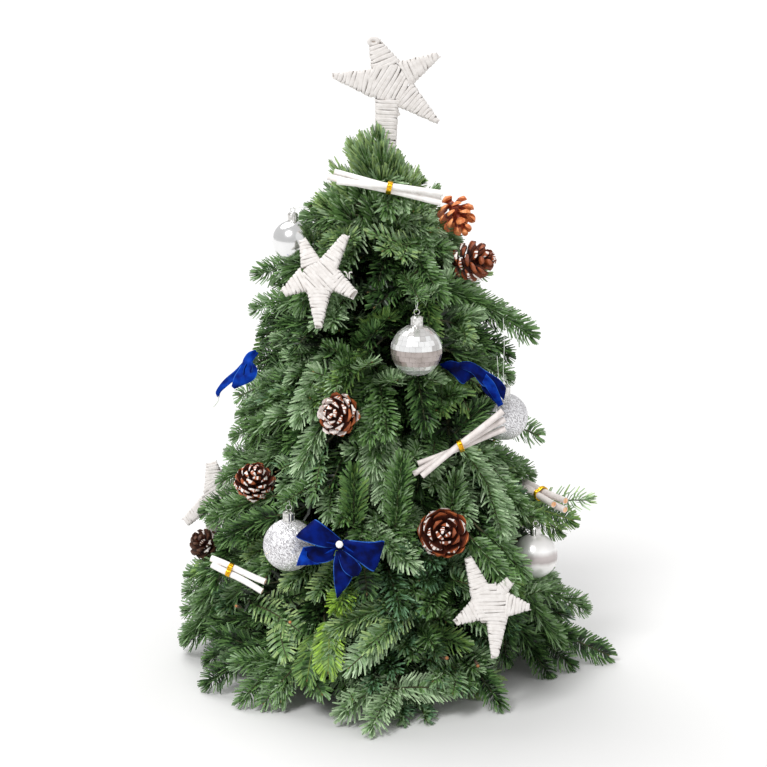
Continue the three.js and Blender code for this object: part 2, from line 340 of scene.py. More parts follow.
def needle_material(name, rgb):
    mat, nt, b = new_material("needle_" + name)
    c = srgb(*rgb)
    colour, _, _ = noisy_colour(nt, shade(c, 0.80), shade(c, 1.18), 140.0)
    nt.links.new(colour, b.inputs["Base Color"])
    b.inputs["Roughness"].default_value = 0.42
    b.inputs["Specular IOR Level"].default_value = 0.5
    return mat


NEEDLE_MATERIALS = [needle_material(n, TONES[n]) for n in TONE_NAMES]


def bark_material(name, dark, light, scale, bump, rough=0.85):
    mat, nt, b = new_material(name)
    colour, fac, _ = noisy_colour(nt, srgb(*dark), srgb(*light), scale, 6.0, 0.32, 0.7, stretch=(1, 1, 0.35))
    nt.links.new(colour, b.inputs["Base Color"])
    b.inputs["Roughness"].default_value = rough
    add_bump(nt, b, fac, 0.7, bump)
    return mat


def wood_material(name, dark, light, along):
    """Planed softwood with its grain along one axis."""
    mat, nt, b = new_material(name)
    stretch = (1.0, 14.0, 14.0) if along == "x" else (14.0, 1.0, 14.0)
    colour, fac, source = noisy_colour(nt, srgb(*dark), srgb(*light), 9.0, 8.0, 0.36, 0.62, stretch=stretch)
    nt.links.new(colour, b.inputs["Base Color"])
    b.inputs["Roughness"].default_value = 0.62
    add_bump(nt, b, fac, 0.5, 0.0006)
    return mat


BARK = bark_material("bark", (46, 34, 26), (112, 92, 74), 90.0, 0.0015)
TWIG = bark_material("twig", (36, 40, 18), (72, 72, 38), 160.0, 0.0004, 0.7)
TWIG_GREEN = bark_material("twig_green", (92, 112, 44), (130, 148, 66), 160.0, 0.0003, 0.6)
BUD = bark_material("bud", (86, 66, 32), (138, 116, 62), 500.0, 0.0003, 0.5)

# ------------------------------------------------------------------ ornaments' keep-out spaces
KEEP_OUT = []  # (p0, p1, radius): needles inside are pushed away, so they are left out


def keep_out(p, outward, radius, reach=0.06):
    KEEP_OUT.append((np.asarray(p, float), np.asarray(p, float) + unit(outward) * reach, radius))


def inside_keep_out(points, grow=0.0):
    hit = np.zeros(len(points), bool)
    for a, b, r in KEEP_OUT:
        ab = b - a
        t = np.clip(((points - a) @ ab) / (ab @ ab), 0, 1)
        d = np.linalg.norm(points - (a + t[:, None] * ab), axis=1)
        hit |= d < r + grow
    return hit


def sky(px, py, r_px):
    """Keeps a line of sight free where the photograph shows the background through the crown's edge."""
    d = ray(px, py)
    keep_out(EYE + d * (DIST - 0.35), d, r_px * DIST / FOCAL, 0.7)


# ------------------------------------------------------------------ needles
class Needles:
    """All the needles of one tier, kept as arrays until they are built."""

    def __init__(self):
        self.parts = []

    def add(self, *arrays):
        self.parts.append(arrays)

    def arrays(self):
        return [np.concatenate([p[k] for p in self.parts]) for k in range(7)]


NEEDLES = {name: Needles() for name in [t[0] for t in TIERS] + ["leader"]}
TWIGS = Pile()
BUDS = Pile()


def needles_on(tier, points, up, tones, per_metre=760, length=0.024, width=0.0025, style="brush", start=0.0, tip_tuft=True, free=False, wide_open=69):
    """Deals needles along one shoot."""
    p, total = resample(points, 24)
    t, s, u = frames_along(p, up)
    n = int(total * (1 - start) * per_metre)
    if n < 3:
        return
    i = np.arange(n)
    x = start + (1 - start) * (i + 0.5 + rng.uniform(-0.3, 0.3, n)) / n
    if tip_tuft:  # a tuft round the bud
        x = np.concatenate([x, 1 - 0.005 * rng.random(10) / max(total, 0.02)])
        n = len(x)
        i = np.arange(n)
    x = np.clip(x, 0, 1)
    g = np.linspace(0, 1, len(p))

    def at(a):
        return np.stack([np.interp(x, g, a[:, k]) for k in range(3)], 1)

    p0, t0, s0, u0 = at(p), unit(at(t)), unit(at(s)), unit(at(u))
    side = np.where(i % 2 == 0, 1.0, -1.0)
    deg = np.pi / 180
    q = (i * 0.6180339 + rng.random()) % 1.0
    if style == "comb":
        elev = np.interp(q, [0, 0.74, 1], [-6, 20, 62])
    else:
        elev = np.interp(q, [0, 0.10, 0.42, 1], [-45, 0, 24, 96])
    elev = (elev + rng.normal(0, 5, n)) * deg
    left = (1 - x) * total  # to the tip
    near = np.clip(left / 0.015, 0, 1)
    begin = np.clip(x * total / 0.012, 0, 1)
    alpha = (wide_open - 0.12 * np.abs(elev) / deg + rng.normal(0, 4, n)) * deg * (0.34 + 0.66 * near)

    def direction(al, el):
        return (
            np.cos(al)[:, None] * t0
            + (np.sin(al) * np.cos(el) * side)[:, None] * s0
            + (np.sin(al) * np.sin(el))[:, None] * u0
        )

    d0 = unit(direction(alpha + 7 * deg, elev - 4 * deg))
    d1 = unit(direction(alpha - 13 * deg, elev + 9 * deg))
    long = length * rng.uniform(0.90, 1.08, n) * (0.66 + 0.34 * near) * (0.7 + 0.3 * begin)
    long *= 1 - 0.16 * np.clip(elev / (80 * deg), 0, 1)
    wide = width * rng.uniform(0.9, 1.1, n)
    flat = np.cos(elev)[:, None] * u0 - (side * np.sin(elev))[:, None] * s0
    roll = rng.normal(0, 22, n) * deg
    w = unit(np.cross(d0, flat))
    flat = unit(np.cross(w, d0))
    w = unit(w * np.cos(roll)[:, None] + flat * np.sin(roll)[:, None])
    flat = unit(np.cross(w, d0))
    mid = p0 + d0 * (long * 0.46)[:, None]
    tip = mid + d1 * (long * 0.54)[:, None]
    # tones is (usual, other, share of other)
    m = np.where(rng.random(n) < tones[2], TONE[tones[1]], TONE[tones[0]])
    NEEDLES[tier].add(p0, mid, tip, w * wide[:, None], flat * wide[:, None], m.astype(np.int32), np.full(n, free))


LOW_SIDE, HIGH_SIDE = np.array([-0.268, -0.254]), np.array([0.286, 0.246])  # no needle reaches out past these


def build_needles():
    made = 0
    for tier, store in NEEDLES.items():
        if not store.parts:
            continue
        p0, mid, tip, w, flat, m, free = store.arrays()
        gone = ((inside_keep_out(mid) | inside_keep_out(tip)) & ~free) | (mid[:, 2] < -0.004)
        gone |= ((tip[:, :2] < LOW_SIDE) | (tip[:, :2] > HIGH_SIDE)).any(axis=1)
        p0, mid, tip, w, flat, m = (a[~gone] for a in (p0, mid, tip, w, flat, m))
        order = np.argsort(np.arctan2(p0[:, 1], p0[:, 0]), kind="stable")
        n = len(order)
        pieces = max(1, math.ceil(n * 4 / 190000))
        nodes = [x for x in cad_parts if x.startswith("spray_" + tier)]
        for k in range(pieces):
            pick = order[k * n // pieces : (k + 1) * n // pieces]
            a, b, c, ww, ff, mm = p0[pick], mid[pick], tip[pick], w[pick], flat[pick], m[pick]
            v = np.stack(
                [
                    a - 0.30 * ww,
                    a + 0.30 * ww,
                    b - 0.50 * ww,
                    b + 0.50 * ww,
                    c + 0.08 * ff - 0.30 * ww,
                    c + 0.08 * ff + 0.30 * ww,
                ],
                1,
            )
            v[:, :, 2] = np.maximum(v[:, :, 2], 0.0008)  # what would pass through the ground lies on it
            base = np.arange(len(pick))[:, None] * 6
            pattern = np.array([[0, 1, 3], [0, 3, 2], [2, 3, 5], [2, 5, 4]])
            f = (base[:, None, :] + pattern[None, :, :]).reshape(-1, 3)
            pile = Pile()
            # painted shade: the two faces at each needle's foot take the darker foot tone, and the two at its tip keep
            # their own
            tones_with_shaded_feet = np.stack([FOOT_SHADE_TONE[mm]] * 2 + [mm] * 2, 1)
            pile.add(v, f, tones_with_shaded_feet.ravel())
            pile.build(f"needles_{tier}_{k + 1}", NEEDLE_MATERIALS, False, "needles", nodes)
            made += len(f)
    return made


def bud(p, d, size):
    """A small scaly bud at a shoot's tip."""
    d = unit(d)
    side = unit(np.cross(d, [0.31, 0.72, 0.61]))
    up = np.cross(side, d)
    ang = np.arange(6) * np.pi / 3
    rings = []
    for h, r in ((-0.4, 0.55), (0.25, 1.0), (0.95, 0.62)):
        rings.append(p + d * size * h + size * 0.62 * r * (np.cos(ang)[:, None] * side + np.sin(ang)[:, None] * up))
    v = np.concatenate(rings + [np.array([p + d * size * 1.45])])
    f = []
    for i in range(2):
        for j in range(6):
            a, b = i * 6 + j, i * 6 + (j + 1) % 6
            f += [(a, b, b + 6), (a, b + 6, a + 6)]
    for j in range(6):
        f.append((12 + j, 12 + (j + 1) % 6, 18))
    BUDS.add(v, f)


# ------------------------------------------------------------------ boughs, limbs and shoots
BARK_PILE = Pile()
LIMBS = {}  # (tier, index): points along the limb, trunk to tip


def bark_relief(seed, amount, fine):
    def relief(i, ang):
        i, ang = np.broadcast_arrays(i, ang)
        k = 0.5 * np.sin(3 * ang + 0.21 * i + seed) + 0.5 * np.sin(7 * ang - 0.33 * i + 2 * seed)
        k = k + 0.6 * np.sin(13 * ang + 0.9 * i + seed) * np.sin(0.7 * i + seed)
        j = np.sin(ang * 5.3 + i * 2.17 + seed * 3.1) * np.sin(ang * 11.1 - i * 1.3 + seed)
        return 1 + amount * k + fine * j

    return relief


def make_trunk():
    zs = np.linspace(FOOT, TRUNK_TOP, 150)
    pts, rad = [], []
    for z in zs:
        p, r = trunk_at(z)
        pts.append(p)
        rad.append(r)
    tube(BARK_PILE, pts, rad, 40, 0, up=np.array([1.0, 0, 0]), relief=bark_relief(1.0, 0.03, 0.025))


def make_limbs():
    """Each bough runs on from where its solid ends, through its mass, nearly to the mass's tip."""
    for k, (tier, root, masses) in enumerate(TIERS):
        order = sorted(range(len(masses)), key=lambda i: masses[i][0])
        for place, i in enumerate(order):
            az, reach = math.radians(masses[i][0]), masses[i][1] / 1000
            z_end = (surface(k + 1, root) + surface(k, root)) / 2
            z_start = z_end - 0.008 + 0.010 * ((place % 3) - 1)
            out = np.array([math.cos(az), math.sin(az), 0.0])
            c, r = trunk_at(z_start)
            a = c + out * r * 0.8
            b = out * root + Z * z_end
            far = reach * 0.80
            z_far = (surface(k + 1, far) + surface(k, far)) / 2
            z_far = max(z_far, 0.022)
            tip = out * far + Z * z_far
            inner = bezier(a, a + (b - a) * 0.4 + Z * 0.002, b - (b - a) * 0.3, b, 12)
            outer = bezier(b, b + (b - a) * 0.6, tip - out * 0.05 + Z * 0.012, tip, 26)
            path = np.concatenate([inner, outer[1:]])
            path, _ = resample(path, 40)
            wobble = np.sin(np.linspace(0, 9, 40) + place * 2 + k)[:, None] * 0.0018
            path = path + wobble * np.array([-out[1], out[0], 0.3])
            rad = np.interp(np.linspace(0, 1, 40), [0, 0.06, 0.3, 1], [0.0060, 0.0046, 0.0036, 0.0016])
            LIMBS[(tier, i)] = path
            # it ends among the shoots, under the crown's surface
            out_at = np.hypot(path[:, 0], path[:, 1]) > crown_radius(path[:, 2], np.arctan2(path[:, 1], path[:, 0])) - 0.030
            out_at |= inside_keep_out(path, 0.002)
            end = int(np.argmax(out_at)) if out_at.any() else len(path)
            end = max(end, 14)
            tube(BARK_PILE, path[:end], rad[:end], 12, 0, relief=bark_relief(place + 3.0 * k, 0.05, 0.05))
            # painted shade: the needles on the limbs, deep in the crown, take the dark inner and deep tones
            needles_on(tier, path[:end], Z, ("inner", "deep", 0.3), 1100, 0.026, 0.0038, "brush", 0.30, False)


def limb_for(p):
    """The tier, limb and place on it from which a shoot starting at p grows."""
    r, a = math.hypot(p[0], p[1]), math.degrees(math.atan2(p[1], p[0])) % 360
    k = 0
    while k < 5 and p[2] > surface(k + 1, r):
        k += 1
    if k == 5:
        return "leader", None
    tier, root, masses = TIERS[k]
    near = min(range(len(masses)), key=lambda i: abs((masses[i][0] - a + 180) % 360 - 180))
    return tier, LIMBS[(tier, near)]


def attach(p, d):
    """Where on the limbs or the trunk the twig to p starts, and which way it sets off."""
    tier, limb = limb_for(p)
    r = math.hypot(p[0], p[1])
    if limb is None:
        z = min(max(p[2] - 0.4 * r, 0.44), 0.605)
        c, _ = trunk_at(z)
        out = unit(np.array([p[0] - c[0], p[1] - c[1], 0.02]))
        return tier, c, out
    radii = np.hypot(limb[:, 0], limb[:, 1])
    want = max(0.5 * r, r - 0.09)
    i = int(np.argmin(np.abs(radii - want)))
    i = min(max(i, 2), len(limb) - 2)
    out = unit(limb[i + 1] - limb[i - 1])
    return tier, limb[i], out


SPRAYS = 0
BRUSH, COMB = 1850, 1250  # needles on a metre of shoot


def spray(
    tip,
    direction,
    length,
    up,
    tones,
    style="brush",
    bend=0.35,
    laterals=1.0,
    density=1.0,
    needle=0.0205,
    rooted=True,
    inner=True,
    start=None,
    stem_green=False,
    width=0.0024,
    free=False,
    wide_open=69,
):
    """One spray: a twig from the limb, then a main shoot with pairs of side shoots in its own plane."""
    global SPRAYS
    tip, d = np.asarray(tip, float), unit(direction)
    if start is None:
        d_start = unit(d + bend * Z)
        d_end = unit(d - 0.25 * bend * Z)
        base = tip - unit(d_start + d_end) * length * 0.95
        # the shoot starts under the crown's surface
        limit = float(crown_radius(max(base[2], 0.0), math.atan2(base[1], base[0]))) - 0.026
        here = math.hypot(base[0], base[1])
        if here > limit:
            base[:2] *= max(limit, 0.006) / here
    else:
        base = np.asarray(start, float)
        length = np.linalg.norm(tip - base) * 1.04
        d_end = unit(tip - base - Z * bend * length * 0.5)
        d_start = unit(tip - base + Z * bend * length)
    base[2] = max(base[2], 0.006)
    path = bezier(base, base + d_start * length * 0.34, tip - d_end * length * 0.34, tip, 16)
    path[:, 2] = np.maximum(path[:, 2], 0.005)
    if not free:
        hit = inside_keep_out(path, 0.001)
        if hit.any():
            if hit.mean() > 0.25 or np.argmax(hit) < 10:
                return
            path, _ = resample(path[: int(np.argmax(hit))], 16)
    SPRAYS += 1
    up = unit(up - (up @ d) * d)
    tier, _ = limb_for(base)
    if rooted:
        tier, a, out = attach(base, d_start)
        gap = np.linalg.norm(base - a)
        if gap > 0.004:
            twig = bezier(a, a + out * gap * 0.4, base - d_start * min(gap * 0.35, 0.028), base, 12)
            twig[:, 2] = np.maximum(twig[:, 2], 0.006)
            if not free and inside_keep_out(twig).any():
                return
            tube(TWIGS, twig, np.linspace(0.0020, 0.0013, 12), 4, 0, caps=False)
            hid = np.hypot(twig[:, 0], twig[:, 1]) < crown_radius(twig[:, 2], np.arctan2(twig[:, 1], twig[:, 0])) - 0.026
            # painted shade: the needles on the hidden part of the twig take the dark inner and deep tones
            if inner and hid.sum() > 4:
                needles_on(tier, twig[hid], up, ("inner", "deep", 0.3), 520 * density, 0.024, 0.0034, "brush", 0.12, False)
    radii = np.linspace(0.0014, 0.0008, 16)
    stem = 1 if stem_green else 0
    tube(TWIGS, path, radii, 4, stem, caps=False)
    needles_on(tier, path, up, tones, (BRUSH if style == "brush" else COMB) * density, needle, width, style, 0.0, True, free, wide_open)
    t, s, u = frames_along(path, up)
    bud(path[-1], t[-1], 0.0019)
    # side shoots in pairs, each at its own year's ring
    for where, share, angle in ((0.22, 0.66, 46), (0.55, 0.46, 42)):
        for side in (1, -1):
            if rng.random() > 0.34 * laterals:
                continue
            i = int(np.clip(where + rng.uniform(-0.05, 0.05), 0.05, 0.9) * 15)
            th = math.radians(angle + rng.normal(0, 6))
            reach = length * share * rng.uniform(0.8, 1.15) * min(1.0, laterals)
            way = unit(
                math.cos(th) * t[i] + math.sin(th) * side * s[i] + rng.normal(0.0, 0.10) * u[i] - 0.10 * bend * Z
            )
            ahead = unit(way + 0.55 * t[i] - 0.12 * bend * Z)
            a = path[i]
            e = a + unit(way + ahead) * reach
            e[2] = max(e[2], 0.005)
            line = bezier(a, a + way * reach * 0.36, e - ahead * reach * 0.3, e, 10)
            if not free and inside_keep_out(line).mean() > 0.3:
                continue
            if not free:
                hit = inside_keep_out(line, 0.001)
                if hit.any():
                    if np.argmax(hit) < 5:
                        continue
                    line, _ = resample(line[: int(np.argmax(hit))], 10)
            tube(TWIGS, line, np.linspace(0.0011, 0.0007, 10), 4, stem, caps=False)
            needles_on(tier, line, u[i], tones, (BRUSH if style == "brush" else COMB) * density, needle * 0.95, width, style, 0.06, True, free)
            bud(line[-1], unit(line[-1] - line[-2]), 0.0017)


def tones_for(z, depth, a):
    """Which greens a spray has: darker inside as painted shade, lighter high up as painted light, greyer outside, a few
    fresh ones.
    """
    # painted shade: sprays set deep in the crown take the darker tones
    if depth > 0.5:
        return ("deep", "green", 0.35) if rng.random() < 0.7 else ("inner", "deep", 0.5)
    pick = rng.random()
    # painted light: sprays high on the crown take the lighter bright and pale tones more often, as if lit from above
    if z > 0.50 and pick < 0.75:
        return ("green", "bright", 0.35) if pick < 0.45 else ("grey", "bright", 0.4)
    if z > 0.30 and pick < 0.16:
        return ("pale", "grey", 0.5)
    if pick < 0.16:
        return ("blue", "deep", 0.3)
    if pick < 0.30:
        return ("green", "grey", 0.35)
    if pick < 0.55:
        return ("grey", "pale", 0.35)
    if pick < 0.70:
        return ("grey", "blue", 0.35)
    if pick < 0.80:
        return ("deep", "green", 0.5)
    if pick < 0.88:
        return ("fresh", "green", 0.45)
    if pick < 0.94:
        return ("bright", "grey", 0.5)
    return ("pale", "grey", 0.5)


def elevation_for(z):
    """How a spray points at this height, in degrees above the level, and how much that varies."""
    mean = np.interp(z, [0.0, 0.06, 0.14, 0.30, 0.45, 0.53, 0.58, 0.66], [-8, -14, -34, -44, -36, -12, 26, 62])
    wide = np.interp(z, [0.0, 0.06, 0.14, 0.30, 0.45, 0.53, 0.58, 0.66], [6, 10, 18, 20, 22, 22, 18, 12])
    return mean, wide


def grow_crown():
    z, row = 0.022, 0
    while z < 0.606:
        mean_r = float(np.mean([crown_radius(z, a) for a in np.linspace(0, 2 * np.pi, 12)]))
        n = max(5, int(2 * np.pi * mean_r / 0.0395))
        for j in range(n):
            a = 2 * np.pi * (j + 0.5 * (row % 2) + rng.uniform(-0.28, 0.28)) / n
            zz = z + rng.uniform(-0.016, 0.016)
            if zz < 0.008:
                zz = 0.008
            depth = 1.0 if rng.random() < 0.36 else 0.0
            r = float(crown_radius(zz, a)) - 0.012 + rng.uniform(-0.014, 0.008) - depth * rng.uniform(0.024, 0.045)
            r = max(r, 0.012)
            radial = np.array([math.cos(a), math.sin(a), 0.0])
            tangent = np.array([-radial[1], radial[0], 0.0])
            mean, wide = elevation_for(zz)
            if 0.10 < zz < 0.52 and rng.random() < 0.36:
                mean, wide = 4.0, 18.0  # some look straight out of the crown
            e = math.radians(mean + rng.normal(0, wide))
            l = rng.normal(0, 0.46)
            d = radial * math.cos(e) * math.cos(l) + tangent * math.sin(l) * math.cos(e) + Z * math.sin(e)
            size = np.interp(zz, [0, 0.45, 0.6], [0.118, 0.100, 0.074]) * rng.uniform(0.82, 1.15)
            tip = radial * r + Z * zz
            n_out = unit(radial * 0.78 + Z * 0.62)
            up = unit(n_out + tangent * rng.normal(0, 0.30))
            if abs(up @ unit(d)) > 0.93:
                up = Z
            spray(tip, d, size, up, tones_for(zz, depth, a), "comb" if rng.random() < 0.22 else "brush")
        z += 0.0318
        row += 1


# Sprays that show clearly in the photograph: tip and base in its pixels, tones, style, how deep the base starts,
# the size of the side shoots, and for some how far they stand out, how many needles they have, and whether they may
# cross an ornament.
SHOWN = [
    # the left edge
    ((258, 274), (300, 266), ("green", "grey", 0.4), "brush", 0.03, 0.6),
    ((278, 282), (316, 288), ("grey", "green", 0.4), "brush", 0.03, 0.6),
    ((312, 228), (342, 206), ("grey", "bright", 0.4), "brush", 0.02, 0.7),
    ((325, 210), (352, 192), ("green", "grey", 0.4), "brush", 0.02, 0.7),
    ((306, 218), (340, 216), ("green", "grey", 0.4), "brush", 0.02, 0.5),
    ((256, 309), (296, 300), ("grey", "green", 0.4), "brush", 0.03, 0.6),
    ((263, 336), (300, 322), ("green", "deep", 0.4), "brush", 0.03, 0.8),
    ((254, 364), (292, 350), ("deep", "green", 0.5), "brush", 0.03, 0.8, -0.01),
    ((268, 320), (306, 308), ("green", "deep", 0.4), "brush", 0.03, 0.8, -0.012),
    ((258, 426), (296, 412), ("deep", "green", 0.4), "brush", 0.03, 0.8, -0.012),
    ((256, 446), (292, 432), ("deep", "green", 0.4), "brush", 0.03, 0.8, -0.012),
    ((264, 376), (304, 358), ("deep", "green", 0.4), "brush", 0.03, 0.9, -0.012),
    ((268, 390), (306, 374), ("green", "deep", 0.4), "brush", 0.03, 0.9, -0.010),
    ((240, 396), (276, 380), ("green", "grey", 0.4), "comb", 0.03, 0.7),
    ((242, 416), (278, 400), ("green", "grey", 0.4), "brush", 0.03, 0.7),
    ((236, 436), (274, 420), ("green", "grey", 0.3), "brush", 0.03, 0.7),
    ((238, 462), (272, 446), ("grey", "green", 0.4), "brush", 0.03, 0.7),
    ((222, 482), (266, 455), ("grey", "green", 0.4), "brush", 0.03, 0.9),
    ((205, 512), (250, 490), ("green", "deep", 0.4), "brush", 0.03, 0.8),
    ((190, 576), (240, 560), ("green", "grey", 0.4), "brush", 0.04, 0.8),
    ((188, 592), (238, 574), ("grey", "green", 0.4), "brush", 0.04, 0.7),
    ((187, 611), (236, 590), ("grey", "green", 0.4), "brush", 0.04, 0.9),
    ((186, 640), (240, 622), ("green", "deep", 0.3), "brush", 0.04, 0.9),
    ((208, 660), (250, 640), ("green", "deep", 0.4), "brush", 0.04, 0.6),
    ((207, 684), (250, 650), ("deep", "green", 0.4), "brush", 0.03, 0.9),
    ((242, 700), (276, 660), ("grey", "green", 0.5), "brush", 0.03, 0.9),
    ((264, 703), (292, 664), ("green", "grey", 0.5), "comb", 0.03, 0.8),
    # the right edge
    ((532, 336), (460, 290), ("green", "grey", 0.4), "brush", 0.03, 0.0, 0.0, 1.2),
    ((456, 244), (428, 226), ("green", "grey", 0.4), "brush", 0.03, 0.5),
    ((500, 322), (456, 296), ("deep", "green", 0.5), "brush", 0.03, 0.0, -0.006, 1.2),
    ((508, 356), (468, 326), ("deep", "green", 0.4), "brush", 0.03, 0.0, 0.0, 1.2),
    ((508, 378), (470, 356), ("green", "grey", 0.4), "brush", 0.03, 0.0),
    ((538, 435), (486, 420), ("grey", "green", 0.4), "comb", 0.03, 0.3),
    ((530, 476), (484, 452), ("green", "grey", 0.4), "brush", 0.03, 0.3),
    ((587, 500), (536, 508), ("pale", "bright", 0.4), "brush", 0.03, 0.0, -0.012, 0.4, False),
    ((572, 520), (520, 506), ("fresh", "green", 0.4), "comb", 0.03, 0.0, -0.006, 1.3, False),
    ((524, 474), (492, 458), ("blue", "deep", 0.4), "comb", 0.03, 0.0),
    ((540, 512), (488, 486), ("blue", "grey", 0.4), "brush", 0.03, 0.0, 0.004, 1.1),
    ((585, 608), (520, 588), ("green", "grey", 0.3), "brush", 0.03, 0.8),
    ((560, 530), (522, 512), ("green", "fresh", 0.4), "comb", 0.03, 0.0, 0.006, 1.3),
    ((554, 582), (508, 568), ("grey", "green", 0.4), "brush", 0.03, 0.5),
    ((608, 655), (528, 620), ("green", "deep", 0.4), "comb", 0.03, 0.5, 0.0, 1.5),
    ((570, 664), (528, 616), ("deep", "green", 0.4), "brush", 0.03, 1.0),
    ((540, 658), (516, 612), ("deep", "green", 0.4), "brush", 0.03, 0.8),
    ((500, 704), (478, 664), ("green", "deep", 0.5), "brush", 0.03, 0.3),
    # low in front
    ((336, 610), (338, 600), ("lime", "fresh", 0.3), "brush", 0.045, 0.0),
    ((328, 672), (318, 636), ("lime", "fresh", 0.6), "comb", 0.02, 0.0),
    ((307, 680), (300, 646), ("fresh", "green", 0.5), "comb", 0.02, 0.0),
    ((349, 668), (398, 636), ("pale", "grey", 0.4), "comb", 0.02, 0.0),
    ((340, 714), (392, 686), ("pale", "grey", 0.3), "brush", 0.02, 0.3),
    ((370, 729), (398, 690), ("pale", "grey", 0.35), "brush", 0.02, 0.3),
    ((450, 690), (398, 692), ("pale", "grey", 0.2), "comb", 0.01, 0.0),
    ((322, 694), (286, 660), ("grey", "green", 0.5), "comb", 0.02, 0.5),
    # upright brushes in the middle
    ((354, 470), (346, 532), ("green", "fresh", 0.3), "brush", 0.03, 0.0, 0.010, 1.3),
    ((402, 458), (396, 534), ("green", "grey", 0.25), "brush", 0.03, 0.0, 0.010, 1.3),
    ((372, 476), (374, 436), ("grey", "pale", 0.5), "brush", 0.03, 0.0, 0.004, 1.1),
    ((426, 428), (424, 380), ("deep", "green", 0.5), "brush", 0.03, 0.0, 0.0, 1.1),
    ((414, 566), (356, 536), ("pale", "grey", 0.4), "brush", 0.03, 0.0, 0.0, 1.1),
    ((300, 470), (306, 430), ("grey", "pale", 0.4), "brush", 0.03, 0.0, 0.004, 1.1),
    ((456, 478), (462, 524), ("grey", "green", 0.4), "brush", 0.03, 0.0, 0.0, 1.1),
    ((488, 404), (466, 436), ("deep", "green", 0.5), "brush", 0.02, 0.0, -0.004, 1.2),
    ((436, 410), (444, 424), ("green", "deep", 0.5), "brush", 0.055, 0.0, 0.004, 1.5),
    ((458, 394), (456, 412), ("green", "grey", 0.3), "brush", 0.05, 0.0, 0.0, 1.3),
    # in front of the third star
    ((510, 590), (486, 546), ("green", "grey", 0.5), "brush", 0.030, 0.0, 0.030),
    ((524, 574), (500, 538), ("green", "grey", 0.5), "brush", 0.030, 0.0, 0.022),
    # below the tie of the sticks at the top
    ((388, 214), (384, 182), ("grey", "green", 0.5), "brush", 0.02, 0.0, 0.012),
    ((402, 206), (388, 180), ("grey", "pale", 0.4), "brush", 0.02, 0.0, 0.010),
]

# The young shoots low in front, which lie over all the rest, and what covers the body of the star at the left.
LAST = [
    ((338, 606), (338, 597), ("lime", "fresh", 0.3), "brush", 0.045, 0.0, 0.018, 1.1),
    ((328, 672), (318, 632), ("fresh", "lime", 0.5), "comb", 0.036, 0.0, 0.015, 1.4),
    ((307, 680), (300, 644), ("fresh", "green", 0.5), "comb", 0.036, 0.0, 0.011, 1.2),
    ((212, 520), (252, 500), ("green", "grey", 0.4), "brush", 0.03, 0.5, 0.012, 1.1),
    ((222, 540), (258, 520), ("green", "deep", 0.4), "brush", 0.03, 0.5, 0.010, 1.1),
]


def grow_shown(places):
    for (tx, ty), (bx, by), tones, style, deep, side, *more in places:
        lift, density, free = (more + [0.0, 1.0, True][len(more):])[:3]
        tip = on_crown(tx, ty, lift - 0.008)
        base_at = on_crown(bx, by, lift)
        inward = unit(np.array([-base_at[0], -base_at[1], 0.0]))
        base = base_at + inward * deep
        if tip[2] < 0.010:
            tip = on_floor(tx, ty, 0.010)
        if base_at[2] < 0.018:
            base = on_floor(bx, by, 0.018) + inward * deep
        d = unit(tip - base)
        face = unit(-FORWARD + 0.35 * Z)
        if abs(face @ d) > 0.9:
            face = Z
        spray(
            tip,
            d,
            np.linalg.norm(tip - base),
            face,
            tones,
            style,
            bend=0.18,
            laterals=side,
            density=density,
            start=base,
            stem_green=tones[0] in ("lime", "fresh"),
            width=0.0024,
            free=free,
        )


def grow_top():
    """Upright and leaning shoots round the foot of the star's stem."""
    rings = ((4, 0.012, 0.640, 0.072, 0.1), (8, 0.026, 0.629, 0.074, 0.1), (10, 0.044, 0.606, 0.066, 0.15), (12, 0.062, 0.580, 0.052, 0.3))
    for count, far, high, long, keep in rings:
        for k in range(count):
            a = 2 * np.pi * (k + rng.uniform(-0.25, 0.25)) / count + far * 40
            r = far * rng.uniform(0.86, 1.12)
            out = np.array([math.cos(a), math.sin(a), 0.0])
            # highest in front of the stem, lower to the right of it
            z = high + rng.uniform(-0.008, 0.005) + (0.010 * max(0.0, -out[1]) - 0.012 * max(0.0, out[0]) if far < 0.03 else 0.0)
            middle = np.array([-0.020, 0.002, 0.0])
            tip = middle + out * r + Z * z
            base = np.array([-0.008, 0.002, 0.0]) + out * (0.004 + keep * r) + Z * (z - long)
            # painted light: the shoots round the star's stem take the bright and pale tones
            pick = [("bright", "pale", 0.3), ("grey", "bright", 0.4), ("green", "pale", 0.3)][int(rng.integers(3))]
            spray(tip, tip - base, 0.07, out, pick, "brush", 0.12, 0.0, 0.85, 0.026, False, False, base, False, 0.0026, True, 46)


# ------------------------------------------------------------------ floor, light, background
def plain(name, colour, rough=0.8):
    mat, nt, b = new_material(name)
    b.inputs["Base Color"].default_value = colour
    b.inputs["Roughness"].default_value = rough
    return mat


